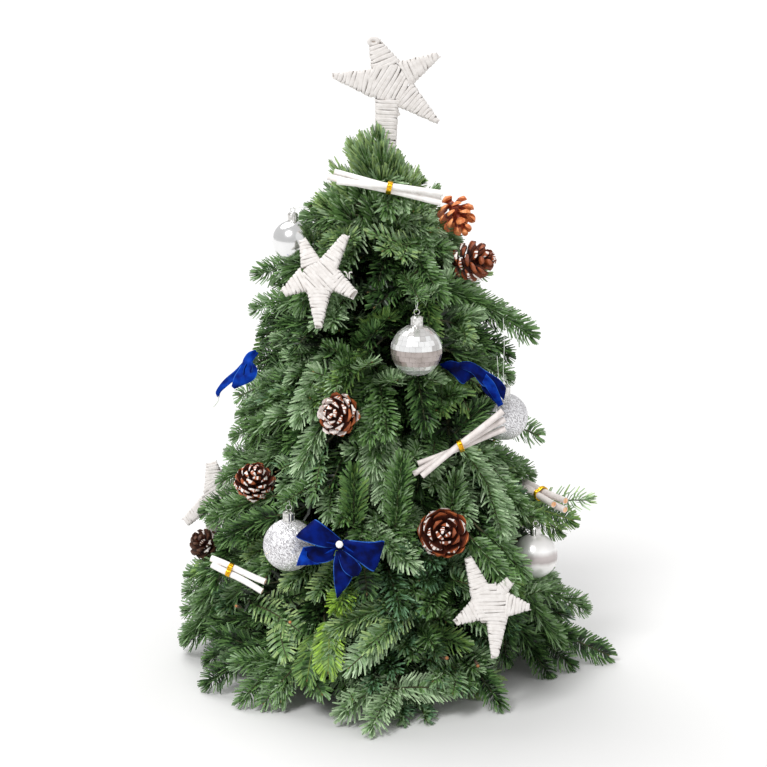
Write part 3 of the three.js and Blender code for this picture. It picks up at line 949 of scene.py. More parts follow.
def studio():
    scene = bpy.context.scene
    scene.view_settings.view_transform = "Standard"
    scene.view_settings.look = "None"
    mesh = bpy.data.meshes.new("floor")
    h = 60.0
    mesh.from_pydata([(-h, -h, 0), (h, -h, 0), (h, h, 0), (-h, h, 0)], [], [(0, 1, 2, 3)])
    mesh.materials.append(plain("floor_white", (0.694, 0.691, 0.688, 1), 0.9))
    floor = bpy.data.objects.new("floor", mesh)
    scene.collection.objects.link(floor)
    world = bpy.data.worlds.new("studio")
    scene.world = world
    world.use_nodes = True
    bg = world.node_tree.nodes["Background"]
    bg.inputs["Color"].default_value = (1.0, 1.0, 1.0, 1)
    bg.inputs["Strength"].default_value = 0.66

    def sun(name, direction, angle, strength):
        data = bpy.data.lights.new(name, "SUN")
        data.angle = math.radians(angle)
        data.energy = strength
        o = bpy.data.objects.new(name, data)
        o.rotation_euler = Vector(direction).to_track_quat("-Z", "Y").to_euler()
        scene.collection.objects.link(o)

    sun("key", (0.44, 0.70, -0.95), 20, 2.1)
    sun("back", (0.40, -0.56, -1.0), 42, 1.45)
    sun("fill", (-0.8, 0.6, -0.5), 60, 0.2)


# ------------------------------------------------------------------ ornaments: materials
def paper_material():
    mat, nt, b = new_material("paper_cord")
    colour, fac, _ = noisy_colour(nt, srgb(206, 201, 197), srgb(222, 218, 215), 160.0, 4.0, 0.3, 0.7)
    nt.links.new(colour, b.inputs["Base Color"])
    b.inputs["Roughness"].default_value = 0.8
    add_bump(nt, b, fac, 0.6, 0.0006)
    return mat


# the star's core under the cord, coloured darker as painted shade that shows in the gaps between the turns
def star_core_shade_material():
    mat, nt, b = new_material("star_core_painted_shade")
    colour, fac, _ = noisy_colour(nt, srgb(168, 154, 143), srgb(206, 195, 185), 200.0, 4.0)
    nt.links.new(colour, b.inputs["Base Color"])
    b.inputs["Roughness"].default_value = 0.9
    add_bump(nt, b, fac, 0.5, 0.0006)
    return mat


def velvet_material(name, dark, light, sheen, tint):
    mat, nt, b = new_material(name)
    colour, fac, _ = noisy_colour(nt, srgb(*dark), srgb(*light), 85.0, 3.0, 0.36, 0.66)
    nt.links.new(colour, b.inputs["Base Color"])
    b.inputs["Roughness"].default_value = 0.6
    b.inputs["Specular IOR Level"].default_value = 0.06
    b.inputs["Sheen Weight"].default_value = sheen
    b.inputs["Sheen Roughness"].default_value = 0.35
    b.inputs["Sheen Tint"].default_value = srgb(*tint)
    fine = nt.nodes.new("ShaderNodeTexNoise")
    fine.inputs["Scale"].default_value = 1500.0
    tc = nt.nodes.new("ShaderNodeTexCoord")
    nt.links.new(tc.outputs["Object"], fine.inputs["Vector"])
    add_bump(nt, b, fine.outputs["Fac"], 0.35, 0.0003)
    return mat


def silver_material(name, low, high, rough, scale, metallic=1.0, bump=0.0):
    mat, nt, b = new_material(name)
    colour, fac, _ = noisy_colour(nt, srgb(*low), srgb(*high), scale, 3.0, 0.35, 0.65)
    nt.links.new(colour, b.inputs["Base Color"])
    b.inputs["Metallic"].default_value = metallic
    b.inputs["Roughness"].default_value = rough
    if bump:
        add_bump(nt, b, fac, 0.5, bump)
    return mat


def silver_with_painted_reflection(name, stops, rough):
    """Silver whose tone changes with height over the ball, a painted reflection of the room round it."""
    mat, nt, b = new_material(name)
    tc = nt.nodes.new("ShaderNodeTexCoord")
    sep = nt.nodes.new("ShaderNodeSeparateXYZ")
    nt.links.new(tc.outputs["Generated"], sep.inputs[0])
    noise_tex = nt.nodes.new("ShaderNodeTexNoise")
    noise_tex.inputs["Scale"].default_value = 3.0
    nt.links.new(tc.outputs["Generated"], noise_tex.inputs["Vector"])
    wob = nt.nodes.new("ShaderNodeMath")
    wob.operation = "MULTIPLY_ADD"
    wob.inputs[1].default_value = 0.16
    nt.links.new(noise_tex.outputs["Fac"], wob.inputs[0])
    nt.links.new(sep.outputs["Z"], wob.inputs[2])
    ramp = nt.nodes.new("ShaderNodeValToRGB")
    el = ramp.color_ramp.elements
    el[0].position, el[0].color = stops[0][0], srgb(*stops[0][1])
    el[1].position, el[1].color = stops[-1][0], srgb(*stops[-1][1])
    for at, c in stops[1:-1]:
        e = el.new(at)
        e.color = srgb(*c)
    nt.links.new(wob.outputs[0], ramp.inputs["Fac"])
    nt.links.new(ramp.outputs["Color"], b.inputs["Base Color"])
    b.inputs["Metallic"].default_value = 0.35
    b.inputs["Roughness"].default_value = rough
    return mat


PAPER = paper_material()
STAR_CORE_SHADE = star_core_shade_material()
VELVET = velvet_material("velvet", (0, 4, 48), (0, 24, 104), 0.22, (0, 70, 210))
# painted sheen: a lighter blue for the ribbons' edge rows and sides
VELVET_EDGE_SHEEN = velvet_material("velvet_edge_painted_sheen", (8, 48, 140), (60, 116, 200), 0.2, (60, 120, 230))
# the ribbon's lighter reverse side, also used as painted highlight on the knot's fold ridges and on the side bows'
# loops
VELVET_REVERSE_AND_HIGHLIGHT = velvet_material("velvet_reverse_and_painted_highlight", (0, 20, 98), (6, 60, 164), 0.3, (20, 90, 220))
# mirror tiles in three tones, dealt out by height over the ball as a painted reflection, and the grout between them
MIRROR = [
    silver_material("mirror_reflection_bright", (240, 240, 240), (252, 252, 252), 0.22, 60.0, 0.7),
    silver_material("mirror_reflection_mid", (206, 204, 202), (228, 226, 224), 0.22, 60.0, 0.7),
    silver_material("mirror_reflection_band", (146, 136, 130), (182, 172, 168), 0.22, 60.0, 0.7),
    silver_material("mirror_groove", (196, 194, 190), (222, 220, 216), 0.30, 200.0),
]
GLITTER = [
    silver_material("glitter_bright", (226, 225, 228), (250, 250, 252), 0.34, 900.0, 0.5),
    silver_material("glitter_mid", (190, 188, 191), (216, 214, 217), 0.36, 900.0, 0.6),
    silver_material("glitter_dark", (150, 147, 150), (182, 179, 182), 0.38, 900.0, 0.6),
]
CAP = silver_material("cap_silver", (190, 188, 184), (235, 234, 232), 0.22, 300.0, 1.0, 0.0003)
# painted reflection: bright above and below, a darker warm band near the middle, greyer at the poles
SATIN_PAINTED_REFLECTION = silver_with_painted_reflection(
    "satin_silver_painted_reflection",
    [(0.06, (196, 194, 190)), (0.22, (248, 247, 246)), (0.46, (240, 238, 236)), (0.54, (178, 170, 168)),
     (0.66, (196, 188, 186)), (0.78, (252, 251, 250)), (1.0, (222, 219, 217))],
    0.26,
)
SHINY = silver_material("shiny_silver", (226, 226, 226), (246, 246, 246), 0.17, 20.0)
# painted shade: the dark colour of each cone's core and the inner parts of its scales, deep among the scales; cone_d
# has a reddish one
CONE_INNER_SHADE = bark_material("cone_inner_painted_shade", (40, 14, 6), (96, 38, 18), 320.0, 0.0006, 0.6)
CONE_RIM = bark_material("cone_rim", (108, 46, 20), (190, 104, 56), 220.0, 0.0006, 0.5)
CONE_ORANGE = bark_material("cone_orange", (196, 98, 46), (250, 172, 112), 240.0, 0.0006, 0.5)
CONE_TIP = bark_material("cone_tip", (176, 84, 40), (224, 136, 84), 240.0, 0.0006, 0.5)
CONE_RED_SHADE = bark_material("cone_red_painted_shade", (104, 34, 18), (168, 74, 44), 240.0, 0.0006, 0.5)
CONE_BROWN = bark_material("cone_brown", (92, 38, 18), (164, 84, 44), 160.0, 0.0006, 0.5)
CONE_UMBER = bark_material("cone_umber", (52, 28, 18), (104, 66, 46), 220.0, 0.0006, 0.6)
CONE_FROST = bark_material("cone_frost", (222, 208, 198), (252, 248, 246), 420.0, 0.0008, 0.7)
STICK = bark_material("stick_white", (204, 195, 191), (230, 223, 220), 120.0, 0.0005, 0.6)
# a lighter copy of the same white paint, painted light on the bundles that face the light
STICK_PAINTED_LIGHT = bark_material("stick_painted_light", (230, 225, 222), (250, 248, 246), 120.0, 0.0005, 0.6)
CUT = bark_material("cut_wood", (132, 78, 40), (196, 138, 84), 420.0, 0.0005, 0.8)
STICK_END = bark_material("stick_end", (214, 150, 102), (246, 206, 166), 420.0, 0.0005, 0.7)
GOLD = silver_material("gold_wire", (214, 150, 20), (255, 214, 60), 0.22, 500.0)
PEARL = silver_material("pearl_white", (246, 244, 240), (255, 255, 255), 0.25, 200.0, 0.0)
THREAD = silver_material("thread_clear", (200, 206, 196), (236, 240, 232), 0.3, 200.0, 0.0)


# ------------------------------------------------------------------ ornaments: where they sit
class Seat:
    """A flat frame an ornament is drawn in, in the photograph's pixels: x to the right, y down, lift to the viewer."""

    def __init__(self, origin, centre, scale, u, v, tall=1.0):
        self.o, self.c, self.s, self.k = np.asarray(origin, float), centre, scale, tall
        self.u, self.v = unit(u), unit(v)
        self.w = unit(np.cross(self.u, self.v))

    def at(self, px, py, lift=0.0):
        return self.o + self.u * (px - self.c[0]) * self.s + self.v * (self.c[1] - py) * self.s * self.k + self.w * lift


def seat_front(cx, cy, lift, y=None, turn=0.0, lean=0.0):
    """A seat that faces the photograph's camera, on the crown or in the plane of a given y. lean tips it back."""
    p = on_crown(cx, cy) if y is None else at_depth(cx, cy, y)
    p = p - ray(cx, cy) * lift
    scale = ((p - EYE) @ FORWARD) / FOCAL
    c, s = math.cos(turn), math.sin(turn)
    w = -FORWARD * c + RIGHT * s
    u = unit(np.cross(UPWARD, w))
    e = math.radians(lean)
    v = UPWARD * math.cos(e) - w * math.sin(e)
    return Seat(p, (cx, cy), scale, u, v, 1 / math.cos(e))


def seat_round(azimuth, z, lift, tip_up=12.0, roll=0.0):
    """A seat that faces outwards anywhere round the crown."""
    a = math.radians(azimuth)
    out = np.array([math.cos(a), math.sin(a), 0.0])
    p = out * (float(crown_radius(z, a)) + lift) + Z * z
    e = math.radians(tip_up)
    w = out * math.cos(e) + Z * math.sin(e)
    u = unit(np.cross(Z, out))
    v = np.cross(w, u)
    r = math.radians(roll)
    return Seat(p, (0.0, 0.0), 0.0012, u * math.cos(r) + v * math.sin(r), v * math.cos(r) - u * math.sin(r))


# ------------------------------------------------------------------ ornaments: wound stars
def wind(pile, middle, across, out, along, turns, half, thick, band, samples=14):
    """A flat cord wound round something long. middle, half and thick are functions of 0..1 along it."""
    n = int(turns * samples)
    t = (np.arange(n + 1)) / n
    phase = t * turns * 2 * np.pi
    turn_no = np.floor(t * turns).astype(int)
    swell = rng.normal(0, 0.018, int(turns) + 2)[turn_no]
    c, s = np.cos(phase), np.sin(phase)
    k = np.sign(c) * np.abs(c) ** 0.55
    l = np.sign(s) * np.abs(s) ** 0.55
    step = band * (0.08 * np.sin(phase * 0.5 + 1.3 * turn_no) + 0.10 * np.sin(phase * 2 + turn_no * 2.1))
    mid = np.stack([middle(x) for x in t])
    h = np.array([half(x) for x in t]) * (1 + swell * 0.4)
    w = np.array([thick(x) for x in t]) * (1 + swell)
    p = mid + across * (h * k)[:, None] + out * (w * l)[:, None] + along * step[:, None]
    normal = unit(across * (c / np.maximum(h, 1e-4))[:, None] + out * (s / np.maximum(w, 1e-4))[:, None])
    wide = band * 0.585 * (1 - 0.40 * np.clip(np.sin(phase * 1.0 + turn_no * 2.7) - 0.30, 0, 1) / 0.70)
    high = np.full(n + 1, band * 0.20)
    ang = np.arange(6) * np.pi / 3
    ring = (
        p[:, None, :]
        + (wide[:, None] * np.cos(ang)[None, :])[:, :, None] * along
        + (high[:, None] * np.sin(ang)[None, :])[:, :, None] * normal[:, None, :]
    )
    v = ring.reshape(-1, 3)
    i = np.arange(n)[:, None] * 6
    j = np.arange(6)[None, :]
    f = quads(i + j, i + 6 + j, i + 6 + (j + 1) % 6, i + (j + 1) % 6)
    v = np.concatenate([v, p[:1], p[-1:]])
    e = len(v) - 2
    jj = np.arange(6)
    f = np.concatenate(
        [
            f,
            np.stack([np.full(6, e), jj, (jj + 1) % 6], 1),
            np.stack([np.full(6, e + 1), n * 6 + (jj + 1) % 6, n * 6 + jj], 1),
        ]
    )
    pile.add(v, f, 0)


def slab(pile, top, thick_vector, m):
    """A closed flat slab from a convex outline."""
    top = np.asarray(top, float)
    n = len(top)
    v = np.concatenate([top + thick_vector, top - thick_vector])
    f = [(0, i, i + 1) for i in range(1, n - 1)] + [(n, n + i + 1, n + i) for i in range(1, n - 1)]
    for i in range(n):
        j = (i + 1) % n
        f += [(i, n + i, n + j), (i, n + j, j)]
    pile.add(v, f, m)


def wound_star(seat, arms, thick, band, centre_r, band_angle):
    """arms: (first notch, first tip corner, second tip corner, second notch) in pixels, clockwise."""
    pile = Pile()
    hidden = []
    for na, ta, tb, nb in arms:
        na, ta, tb, nb = (seat.at(*q) for q in (na, ta, tb, nb))
        centre = seat.at(*seat.c)
        base, end = (na + nb) / 2, (ta + tb) / 2
        along = unit(end - base)
        across = unit(np.cross(seat.w, along))
        if (nb - na) @ across < 0:
            across = -across
        begin = base - along * 0.004
        length = np.linalg.norm(end - begin)

        def middle(x, begin=begin, end=end, na=na, nb=nb, ta=ta, tb=tb):
            return begin + (end - begin) * (0.01 + 0.96 * x)

        wide0 = abs((nb - na) @ across) / 2
        wide1 = max(abs((tb - ta) @ across) / 2, 0.0016)

        def half(x, a=wide0, b=wide1):
            return (a + (b - a) * x) * 0.97

        def thickness(x, a=thick, b=thick * 0.62):
            return (a + (b - a) * x) / 2

        wind(pile, middle, across, seat.w, along, max(3, round(length / band)), half, thickness, band)
        core_a, core_b = 0.80, 0.70
        outline = [
            begin - across * wide0 * core_a,
            begin + across * wide0 * core_a,
            end - along * 0.0035 + across * wide1 * core_b,
            end - along * 0.0035 - across * wide1 * core_b,
        ]
        # the arm's core slab, in the painted shade colour
        slab(pile, outline, seat.w * thick * 0.26, 1)
        for t in (0.1, 0.5, 0.9):
            hidden.append((begin + (end - begin) * t, max(half(t) * 0.9, 0.0035)))
        hidden.append((centre, centre_r * seat.s * 0.9))
    # the middle, wound the other way over the arms' roots
    th = math.radians(band_angle)
    across = seat.u * math.cos(th) + seat.v * math.sin(th)
    along = seat.u * math.sin(th) - seat.v * math.cos(th)
    centre = seat.at(*seat.c)
    rr = centre_r * seat.s
    reach = rr * 0.97

    def middle_c(x):
        return centre + along * (2 * x - 1) * reach

    def half_c(x):
        return math.sqrt(max(rr * rr - ((2 * x - 1) * reach) ** 2, 0)) * 0.93 + 0.001

    def thick_c(x):
        return thick / 2 * (1.10 - 0.10 * abs(2 * x - 1))

    wind(pile, middle_c, across, seat.w, along, max(4, round(2 * reach / band)), half_c, thick_c, band, 18)
    # the middle's core slab, in the painted shade colour
    ring = [centre + rr * 0.72 * (seat.u * math.cos(q) + seat.v * math.sin(q)) for q in np.arange(10) * np.pi / 5]
    slab(pile, ring, seat.w * thick * 0.34, 1)
    for p, r in hidden:
        keep_out(p - seat.w * 0.004, seat.w, r + 0.0015, 0.07)
    return pile


# ------------------------------------------------------------------ ornaments: balls
def sphere_rows(centre, r, rows, cols, up, jolt=0.0, side=None):
    up = unit(up)
    s = unit(np.cross(up, [0.3, 0.9, 0.2]))
    t = np.cross(up, s)
    lat = np.linspace(0, np.pi, rows + 1)[1:-1]
    lon = np.arange(cols) * 2 * np.pi / cols
    rad = r * (1 + jolt * (rng.random((len(lat), cols)) * 2 - 1))
    d = (
        np.cos(lat)[:, None, None] * up
        + np.sin(lat)[:, None, None] * (np.cos(lon)[None, :, None] * s + np.sin(lon)[None, :, None] * t)
    )
    v = (centre + d * rad[:, :, None]).reshape(-1, 3)
    v = np.concatenate([v, [centre + up * r], [centre - up * r]])
    i = np.arange(len(lat) - 1)[:, None] * cols
    j = np.arange(cols)[None, :]
    f = quads(i + j, i + cols + j, i + cols + (j + 1) % cols, i + (j + 1) % cols)
    a, b = len(v) - 2, len(v) - 1
    jj = np.arange(cols)
    last = (len(lat) - 1) * cols
    f = np.concatenate(
        [f, np.stack([np.full(cols, a), jj, (jj + 1) % cols], 1), np.stack([np.full(cols, b), last + (jj + 1) % cols, last + jj], 1)]
    )
    return v, f


def ring_tube(pile, centre, r, wire, u, v, m=0, n=18, sides=6, squash=1.0):
    ang = np.linspace(0, 2 * np.pi, n + 1)
    pts = centre + r * (np.cos(ang)[:, None] * u + squash * np.sin(ang)[:, None] * v)
    w = np.cross(u, v)
    out = unit(pts[:-1] - centre)
    q = np.arange(sides) * 2 * np.pi / sides
    ring = pts[:-1][:, None, :] + wire * (
        np.cos(q)[None, :, None] * out[:, None, :] + np.sin(q)[None, :, None] * w
    )
    vv = ring.reshape(-1, 3)
    i = np.arange(n)[:, None]
    j = np.arange(sides)[None, :]
    f = quads(i * sides + j, ((i + 1) % n) * sides + j, ((i + 1) % n) * sides + (j + 1) % sides, i * sides + (j + 1) % sides)
    pile.add(vv, f, m)


def ball_cap(pile, top, up, r, high, thread_to=None):
    """A ribbed cap with a scalloped foot, a wire loop and a thread."""
    up = unit(up)
    s = unit(np.cross(up, -FORWARD + 0.001 * Z))
    t = np.cross(up, s)
    cols = 32
    lon = np.arange(cols) * 2 * np.pi / cols
    rows = [(-0.25, 1.12), (0.0, 1.06), (0.12, 0.99), (0.55, 0.98), (0.78, 1.02), (0.86, 0.98), (0.98, 0.80), (1.06, 0.40)]
    ring = []
    for k, (h, q) in enumerate(rows):
        rib = 1 + (0.035 if k in (2, 3, 4) else 0.0) * np.where(np.arange(cols) % 2 == 0, 1, -1)
        foot = (0.10 * np.abs(np.sin(lon * 4)) if k == 0 else 0.0)
        ring.append(
            top + up * (high * (h - foot))[..., None] * 1.0
            + r * (q * rib)[:, None] * (np.cos(lon)[:, None] * s + np.sin(lon)[:, None] * t)
            if k == 0
            else top + up * high * h + r * (q * rib)[:, None] * (np.cos(lon)[:, None] * s + np.sin(lon)[:, None] * t)
        )
    v = np.concatenate(ring + [[top + up * high * 1.08]])
    n = len(rows)
    i = np.arange(n - 1)[:, None] * cols
    j = np.arange(cols)[None, :]
    f = quads(i + j, i + (j + 1) % cols, i + cols + (j + 1) % cols, i + cols + j)
    jj = np.arange(cols)
    f = np.concatenate([f, np.stack([np.full(cols, len(v) - 1), (n - 1) * cols + jj, (n - 1) * cols + (jj + 1) % cols], 1)])
    pile.add(v, f, 0)
    loop = top + up * (high * 1.08 + r * 0.42)
    ring_tube(pile, loop, r * 0.46, 0.00045, s, up, 0, 20, 6)
    if thread_to is not None:
        a = loop + up * r * 0.3
        for k in (-1, 1):
            mid = (a + thread_to) / 2 + s * 0.0018 * k
            line = bezier(a, a + (mid - a) * 0.6, mid, thread_to, 12)
            tube(pile, line, 0.00032, 5, 1)


def plain_ball(name, centre, r, mat, up=Z, thread=None):
    pile = Pile()
    v, f = sphere_rows(centre, r, 36, 56, up)
    pile.add(v, f, 0)
    pile.build(name, [mat], True, "silver")
    finish_ball(name, centre, r, up, thread)


def finish_ball(name, centre, r, up, thread):
    pile = Pile()
    ball_cap(pile, centre + unit(up) * r * 0.965, up, r * 0.235, r * 0.40, thread)
    pile.build(name + "_cap", [CAP, THREAD], False, "silver")


def glitter_ball(name, centre, r, up=Z, thread=None):
    v, f = sphere_rows(centre, r, 56, 108, up, 0.010)
    pile = Pile()
    pile.add(v, f, rng.choice(3, len(f), p=[0.44, 0.38, 0.18]))
    pile.build(name, GLITTER, False, "silver")
    finish_ball(name, centre, r, up, thread)


def mirror_ball(name, centre, r, up=Z, thread=None):
    """Flat square mirrors in rows over a ball, their tiles toned in bands by height as a painted reflection of the
    room.
    """
    pile = Pile()
    v, f = sphere_rows(centre, r * 0.982, 30, 48, up)
    pile.add(v, f, 3)
    up = unit(up)
    s = unit(np.cross(up, -FORWARD + 0.001 * Z))
    t = np.cross(up, s)
    rows = 15
    for i in range(rows):
        a0, a1 = np.pi * (i + 0.012) / rows, np.pi * (i + 0.988) / rows
        mid = (a0 + a1) / 2
        cols = max(5, int(round(2 * np.pi * math.sin(mid) / (np.pi / rows) * 0.92)))
        h = (i + 0.5) / rows
        for j in range(cols):
            b0 = 2 * np.pi * (j + 0.012) / cols
            b1 = 2 * np.pi * (j + 0.988) / cols
            tilt = rng.normal(0, 0.02, 2)
            q = []
            for a, b in ((a0, b0), (a1, b0), (a1, b1), (a0, b1)):
                q.append(math.cos(a) * up + math.sin(a) * (math.cos(b) * s + math.sin(b) * t))
            q = np.array(q)
            n = unit(q.mean(0))
            plane = r * 0.995
            top = centre + q * (plane / (q @ n))[:, None]
            c0 = top.mean(0)
            e1, e2 = unit(top[1] - top[0]), unit(top[3] - top[0])
            top = top + n * (((top - c0) @ e1) * tilt[0] + ((top - c0) @ e2) * tilt[1])[:, None]
            low = c0 + (top - c0) * 0.995 - n * r * 0.035
            # painted reflection: greyer rows at the top and bottom, bright rows between, a warm grey band just below
            # the middle
            pick = rng.random()
            if h < 0.14:
                m = 1
            elif h < 0.34:
                m = 0 if pick < 0.5 else 1
            elif h < 0.50:
                m = 0 if pick < 0.8 else 1
            elif h < 0.64:
                m = 2
            elif h < 0.86:
                m = 0
            else:
                m = 1
            vv = np.concatenate([top, low])
            ff = [(0, 1, 2), (0, 2, 3)]
            for k in range(4):
                l = (k + 1) % 4
                ff += [(k, 4 + l, l), (k, 4 + k, 4 + l)]
            pile.add(vv, ff, m)
    pile.build(name, MIRROR, False, "silver")
    finish_ball(name, centre, r, up, thread)


def hang_ball(kind, name, seat, cx, cy, r_px, sink=0.45, thread=0.03, past=0.016, fill=0.7, aside=0.0):
    """A ball on its thread, and the shoot that carries it."""
    r = r_px * seat.s
    centre = seat.at(cx, cy, r * sink)
    over = centre + Z * (r + thread) + RIGHT * aside
    if kind == "mirror":
        mirror_ball(name, centre, r, Z, over)
    elif kind == "glitter":
        glitter_ball(name, centre, r, Z, over)
    else:
        plain_ball(name, centre, r, SATIN_PAINTED_REFLECTION if kind == "satin" else SHINY, Z, over)
    keep_out(centre - seat.w * r * 0.2, seat.w, r * 1.06, 0.09)
    keep_out(centre + Z * r * 1.25, seat.w, r * 0.34, 0.07)
    out = unit(np.array([over[0], over[1], 0.0]))
    d = unit(out - 0.16 * Z)
    spray(over + d * past, d, 0.086, Z, ("green", "grey", 0.4), "brush", 0.0, 0.0, fill, 0.017, True, False, over - d * 0.07, False, 0.0023, True)
    return centre, r


# ------------------------------------------------------------------ ornaments: cones
def pine_cone(name, centre, axis, R, L, frost, seed, n=42, rim_bright=0.5, style="cap", colour=None, loose=0.0, inner=None, broad=1.0, curl=0.20):
    gen = np.random.default_rng(seed)
    pile = Pile()
    a = unit(axis)
    s = unit(np.cross(a, [0.21, 0.31, 0.93]))
    u = np.cross(a, s)
    # the core
    hs = np.linspace(0.42, -0.52, 8)
    line = centre + a * (L * hs)[:, None]
    tube(pile, line, R * np.array([0.05, 0.10, 0.15, 0.19, 0.22, 0.23, 0.20, 0.10]), 10, 0, up=s)
    xs = np.array([0.12, 0.45, 0.72, 0.86, 0.95, 1.0])
    ys = np.array([-1.0, -0.6, 0.0, 0.6, 1.0])
    X, Y = np.meshgrid(xs, ys, indexing="ij")
    nx, ny = len(xs), len(ys)
    for i in range(n):
        f = (i + 0.5) / n
        ang = i * 2.39996 + gen.normal(0, 0.05)
        reach = R * (0.13 + 0.87 * math.sin(math.pi / 2 * min(1.0, f / 0.60)) ** 0.85) * (1 - 0.14 * max(0.0, f - 0.6) / 0.4)
        reach *= gen.uniform(0.93 - loose, 1.05)
        high = L * (0.50 - 0.88 * f**0.9)
        tilt = math.radians(16 + 74 * f**0.62)
        core = R * (0.05 + 0.16 * min(1.0, f * 1.6))
        length = min((reach - core) / math.sin(tilt), R * 1.15)
        rad = math.cos(ang) * s + math.sin(ang) * u
        tan = np.cross(a, rad)
        along = math.sin(tilt) * rad + math.cos(tilt) * a
        face = math.cos(tilt) * -rad + math.sin(tilt) * a  # the side that looks at the cone's tip
        root = centre + rad * core + a * (high - length * math.cos(tilt))
        W = R * (0.095 + 0.185 * reach / R) * gen.uniform(0.88, 1.12) * broad
        grow = 0.35 + 0.65 * np.clip(X / 0.72, 0, 1) ** 0.9
        rounding = np.sqrt(np.clip(1 - (np.clip(X - 0.72, 0, 1) / 0.30) ** 2, 0.0, 1))
        wide = W * grow * rounding
        up_line = length * (curl * X**2 - 0.06 * X) + 0.18 * W * Y**2 * X
        thick = R * (0.035 + 0.105 * np.clip((X - 0.55) / 0.35, 0, 1)) * (1 - 0.45 * np.abs(Y) ** 2)
        top = root + (X * length)[..., None] * along + (Y * wide)[..., None] * tan + (up_line + thick * 0.5)[..., None] * face
        bot = root + (X * length * 0.985)[..., None] * along + (Y * wide * 0.96)[..., None] * tan + (up_line - thick * 0.7)[..., None] * face
        v = np.concatenate([top.reshape(-1, 3), bot.reshape(-1, 3)])
        k = nx * ny
        ii, jj = np.meshgrid(np.arange(nx - 1), np.arange(ny - 1), indexing="ij")
        q = (ii * ny + jj).ravel()
        ft = quads(q, q + ny, q + ny + 1, q + 1)
        fb = quads(k + q, k + q + 1, k + q + ny + 1, k + q + ny)
        frosty = gen.random() < frost * ((0.95 - 0.75 * f) if style == "rose" else (1.25 - 0.8 * f))  # those near the tip hold most
        deep = gen.uniform(0.6, 1.0)
        zone = np.concatenate([ii.ravel(), ii.ravel()])
        # painted shade: the inner zones of each scale take the dark inner colour and the outer zones the cone's own
        # colour; underneath, rim_bright is the chance that the inner zones take the cone's colour instead
        mt = np.where(zone >= 3, 2 if frosty and style == "cap" else 1, 0)
        if frosty and style == "cap" and frost > 0.8 and deep > 0.75:
            mt = np.where(zone >= 2, 2, mt)
        if style == "rim":
            mt = np.where(zone >= 4, 1, 0)
        if style == "rose":
            mt = np.where(zone >= 3, 1, 0)
            mt = np.where(zone >= 4, 2 if frosty and deep > 0.65 else 3, mt)
        if colour is not None and style != "rose":
            mt = np.where(zone >= 1, 1, 0)
        mb = np.where(zone >= 2, 1, np.where(gen.random() < rim_bright, 1, 0))
        border = (
            [(r_ * ny, (r_ + 1) * ny) for r_ in range(nx - 1)]
            + [((nx - 1) * ny + c, (nx - 1) * ny + c + 1) for c in range(ny - 1)]
            + [((r_ + 1) * ny + ny - 1, r_ * ny + ny - 1) for r_ in range(nx - 2, -1, -1)]
        )
        fs, ms = [], []
        for e0, e1 in border:
            fs += [(e0, k + e0, k + e1), (e0, k + e1, e1)]
            outer = min(e0, e1) // ny >= 2
            ms += [(2 if frosty and outer and gen.random() < (0.5 if style == "rose" else 0.6) else 1) if outer else 0] * 2
        pile.add(v, np.concatenate([ft, fb, fs]), np.concatenate([mt, mb, ms]))
    obj = pile.build(name, [inner or CONE_INNER_SHADE, colour or CONE_RIM, CONE_FROST, CONE_TIP], False, "cone_scale")
    return obj


def seat_cone(name, seat, cx, cy, r_px, l_px, axis_px, frost, seed, lift=0.012, hidden=True, rim=0.5, **more):
    """axis_px: which way the cone's tip points, right, up, towards the viewer."""
    axis = unit(seat.u * axis_px[0] + seat.v * axis_px[1] + seat.w * axis_px[2])
    centre = seat.at(cx, cy, lift)
    R, L = r_px * seat.s, l_px * seat.s
    pine_cone(name, centre, axis, R, L, frost, seed, rim_bright=rim, **more)
    if hidden:
        keep_out(centre - seat.w * R * 0.3, seat.w, R * 0.97, 0.09)


# ------------------------------------------------------------------ ornaments: ribbons and bows
def smooth_line(points, n):
    """A smooth curve through the points."""
    p = np.asarray(points, float)
    p = np.concatenate([[2 * p[0] - p[1]], p, [2 * p[-1] - p[-2]]])
    m = len(p) - 3
    out = []
    for x in np.linspace(0, m, n):
        i = min(int(x), m - 1)
        t = x - i
        a, b, c, d = p[i], p[i + 1], p[i + 2], p[i + 3]
        out.append(0.5 * (2 * b + (c - a) * t + (2 * a - 5 * b + 4 * c - d) * t * t + (3 * b - a - 3 * c + d) * t**3))
    return np.array(out)


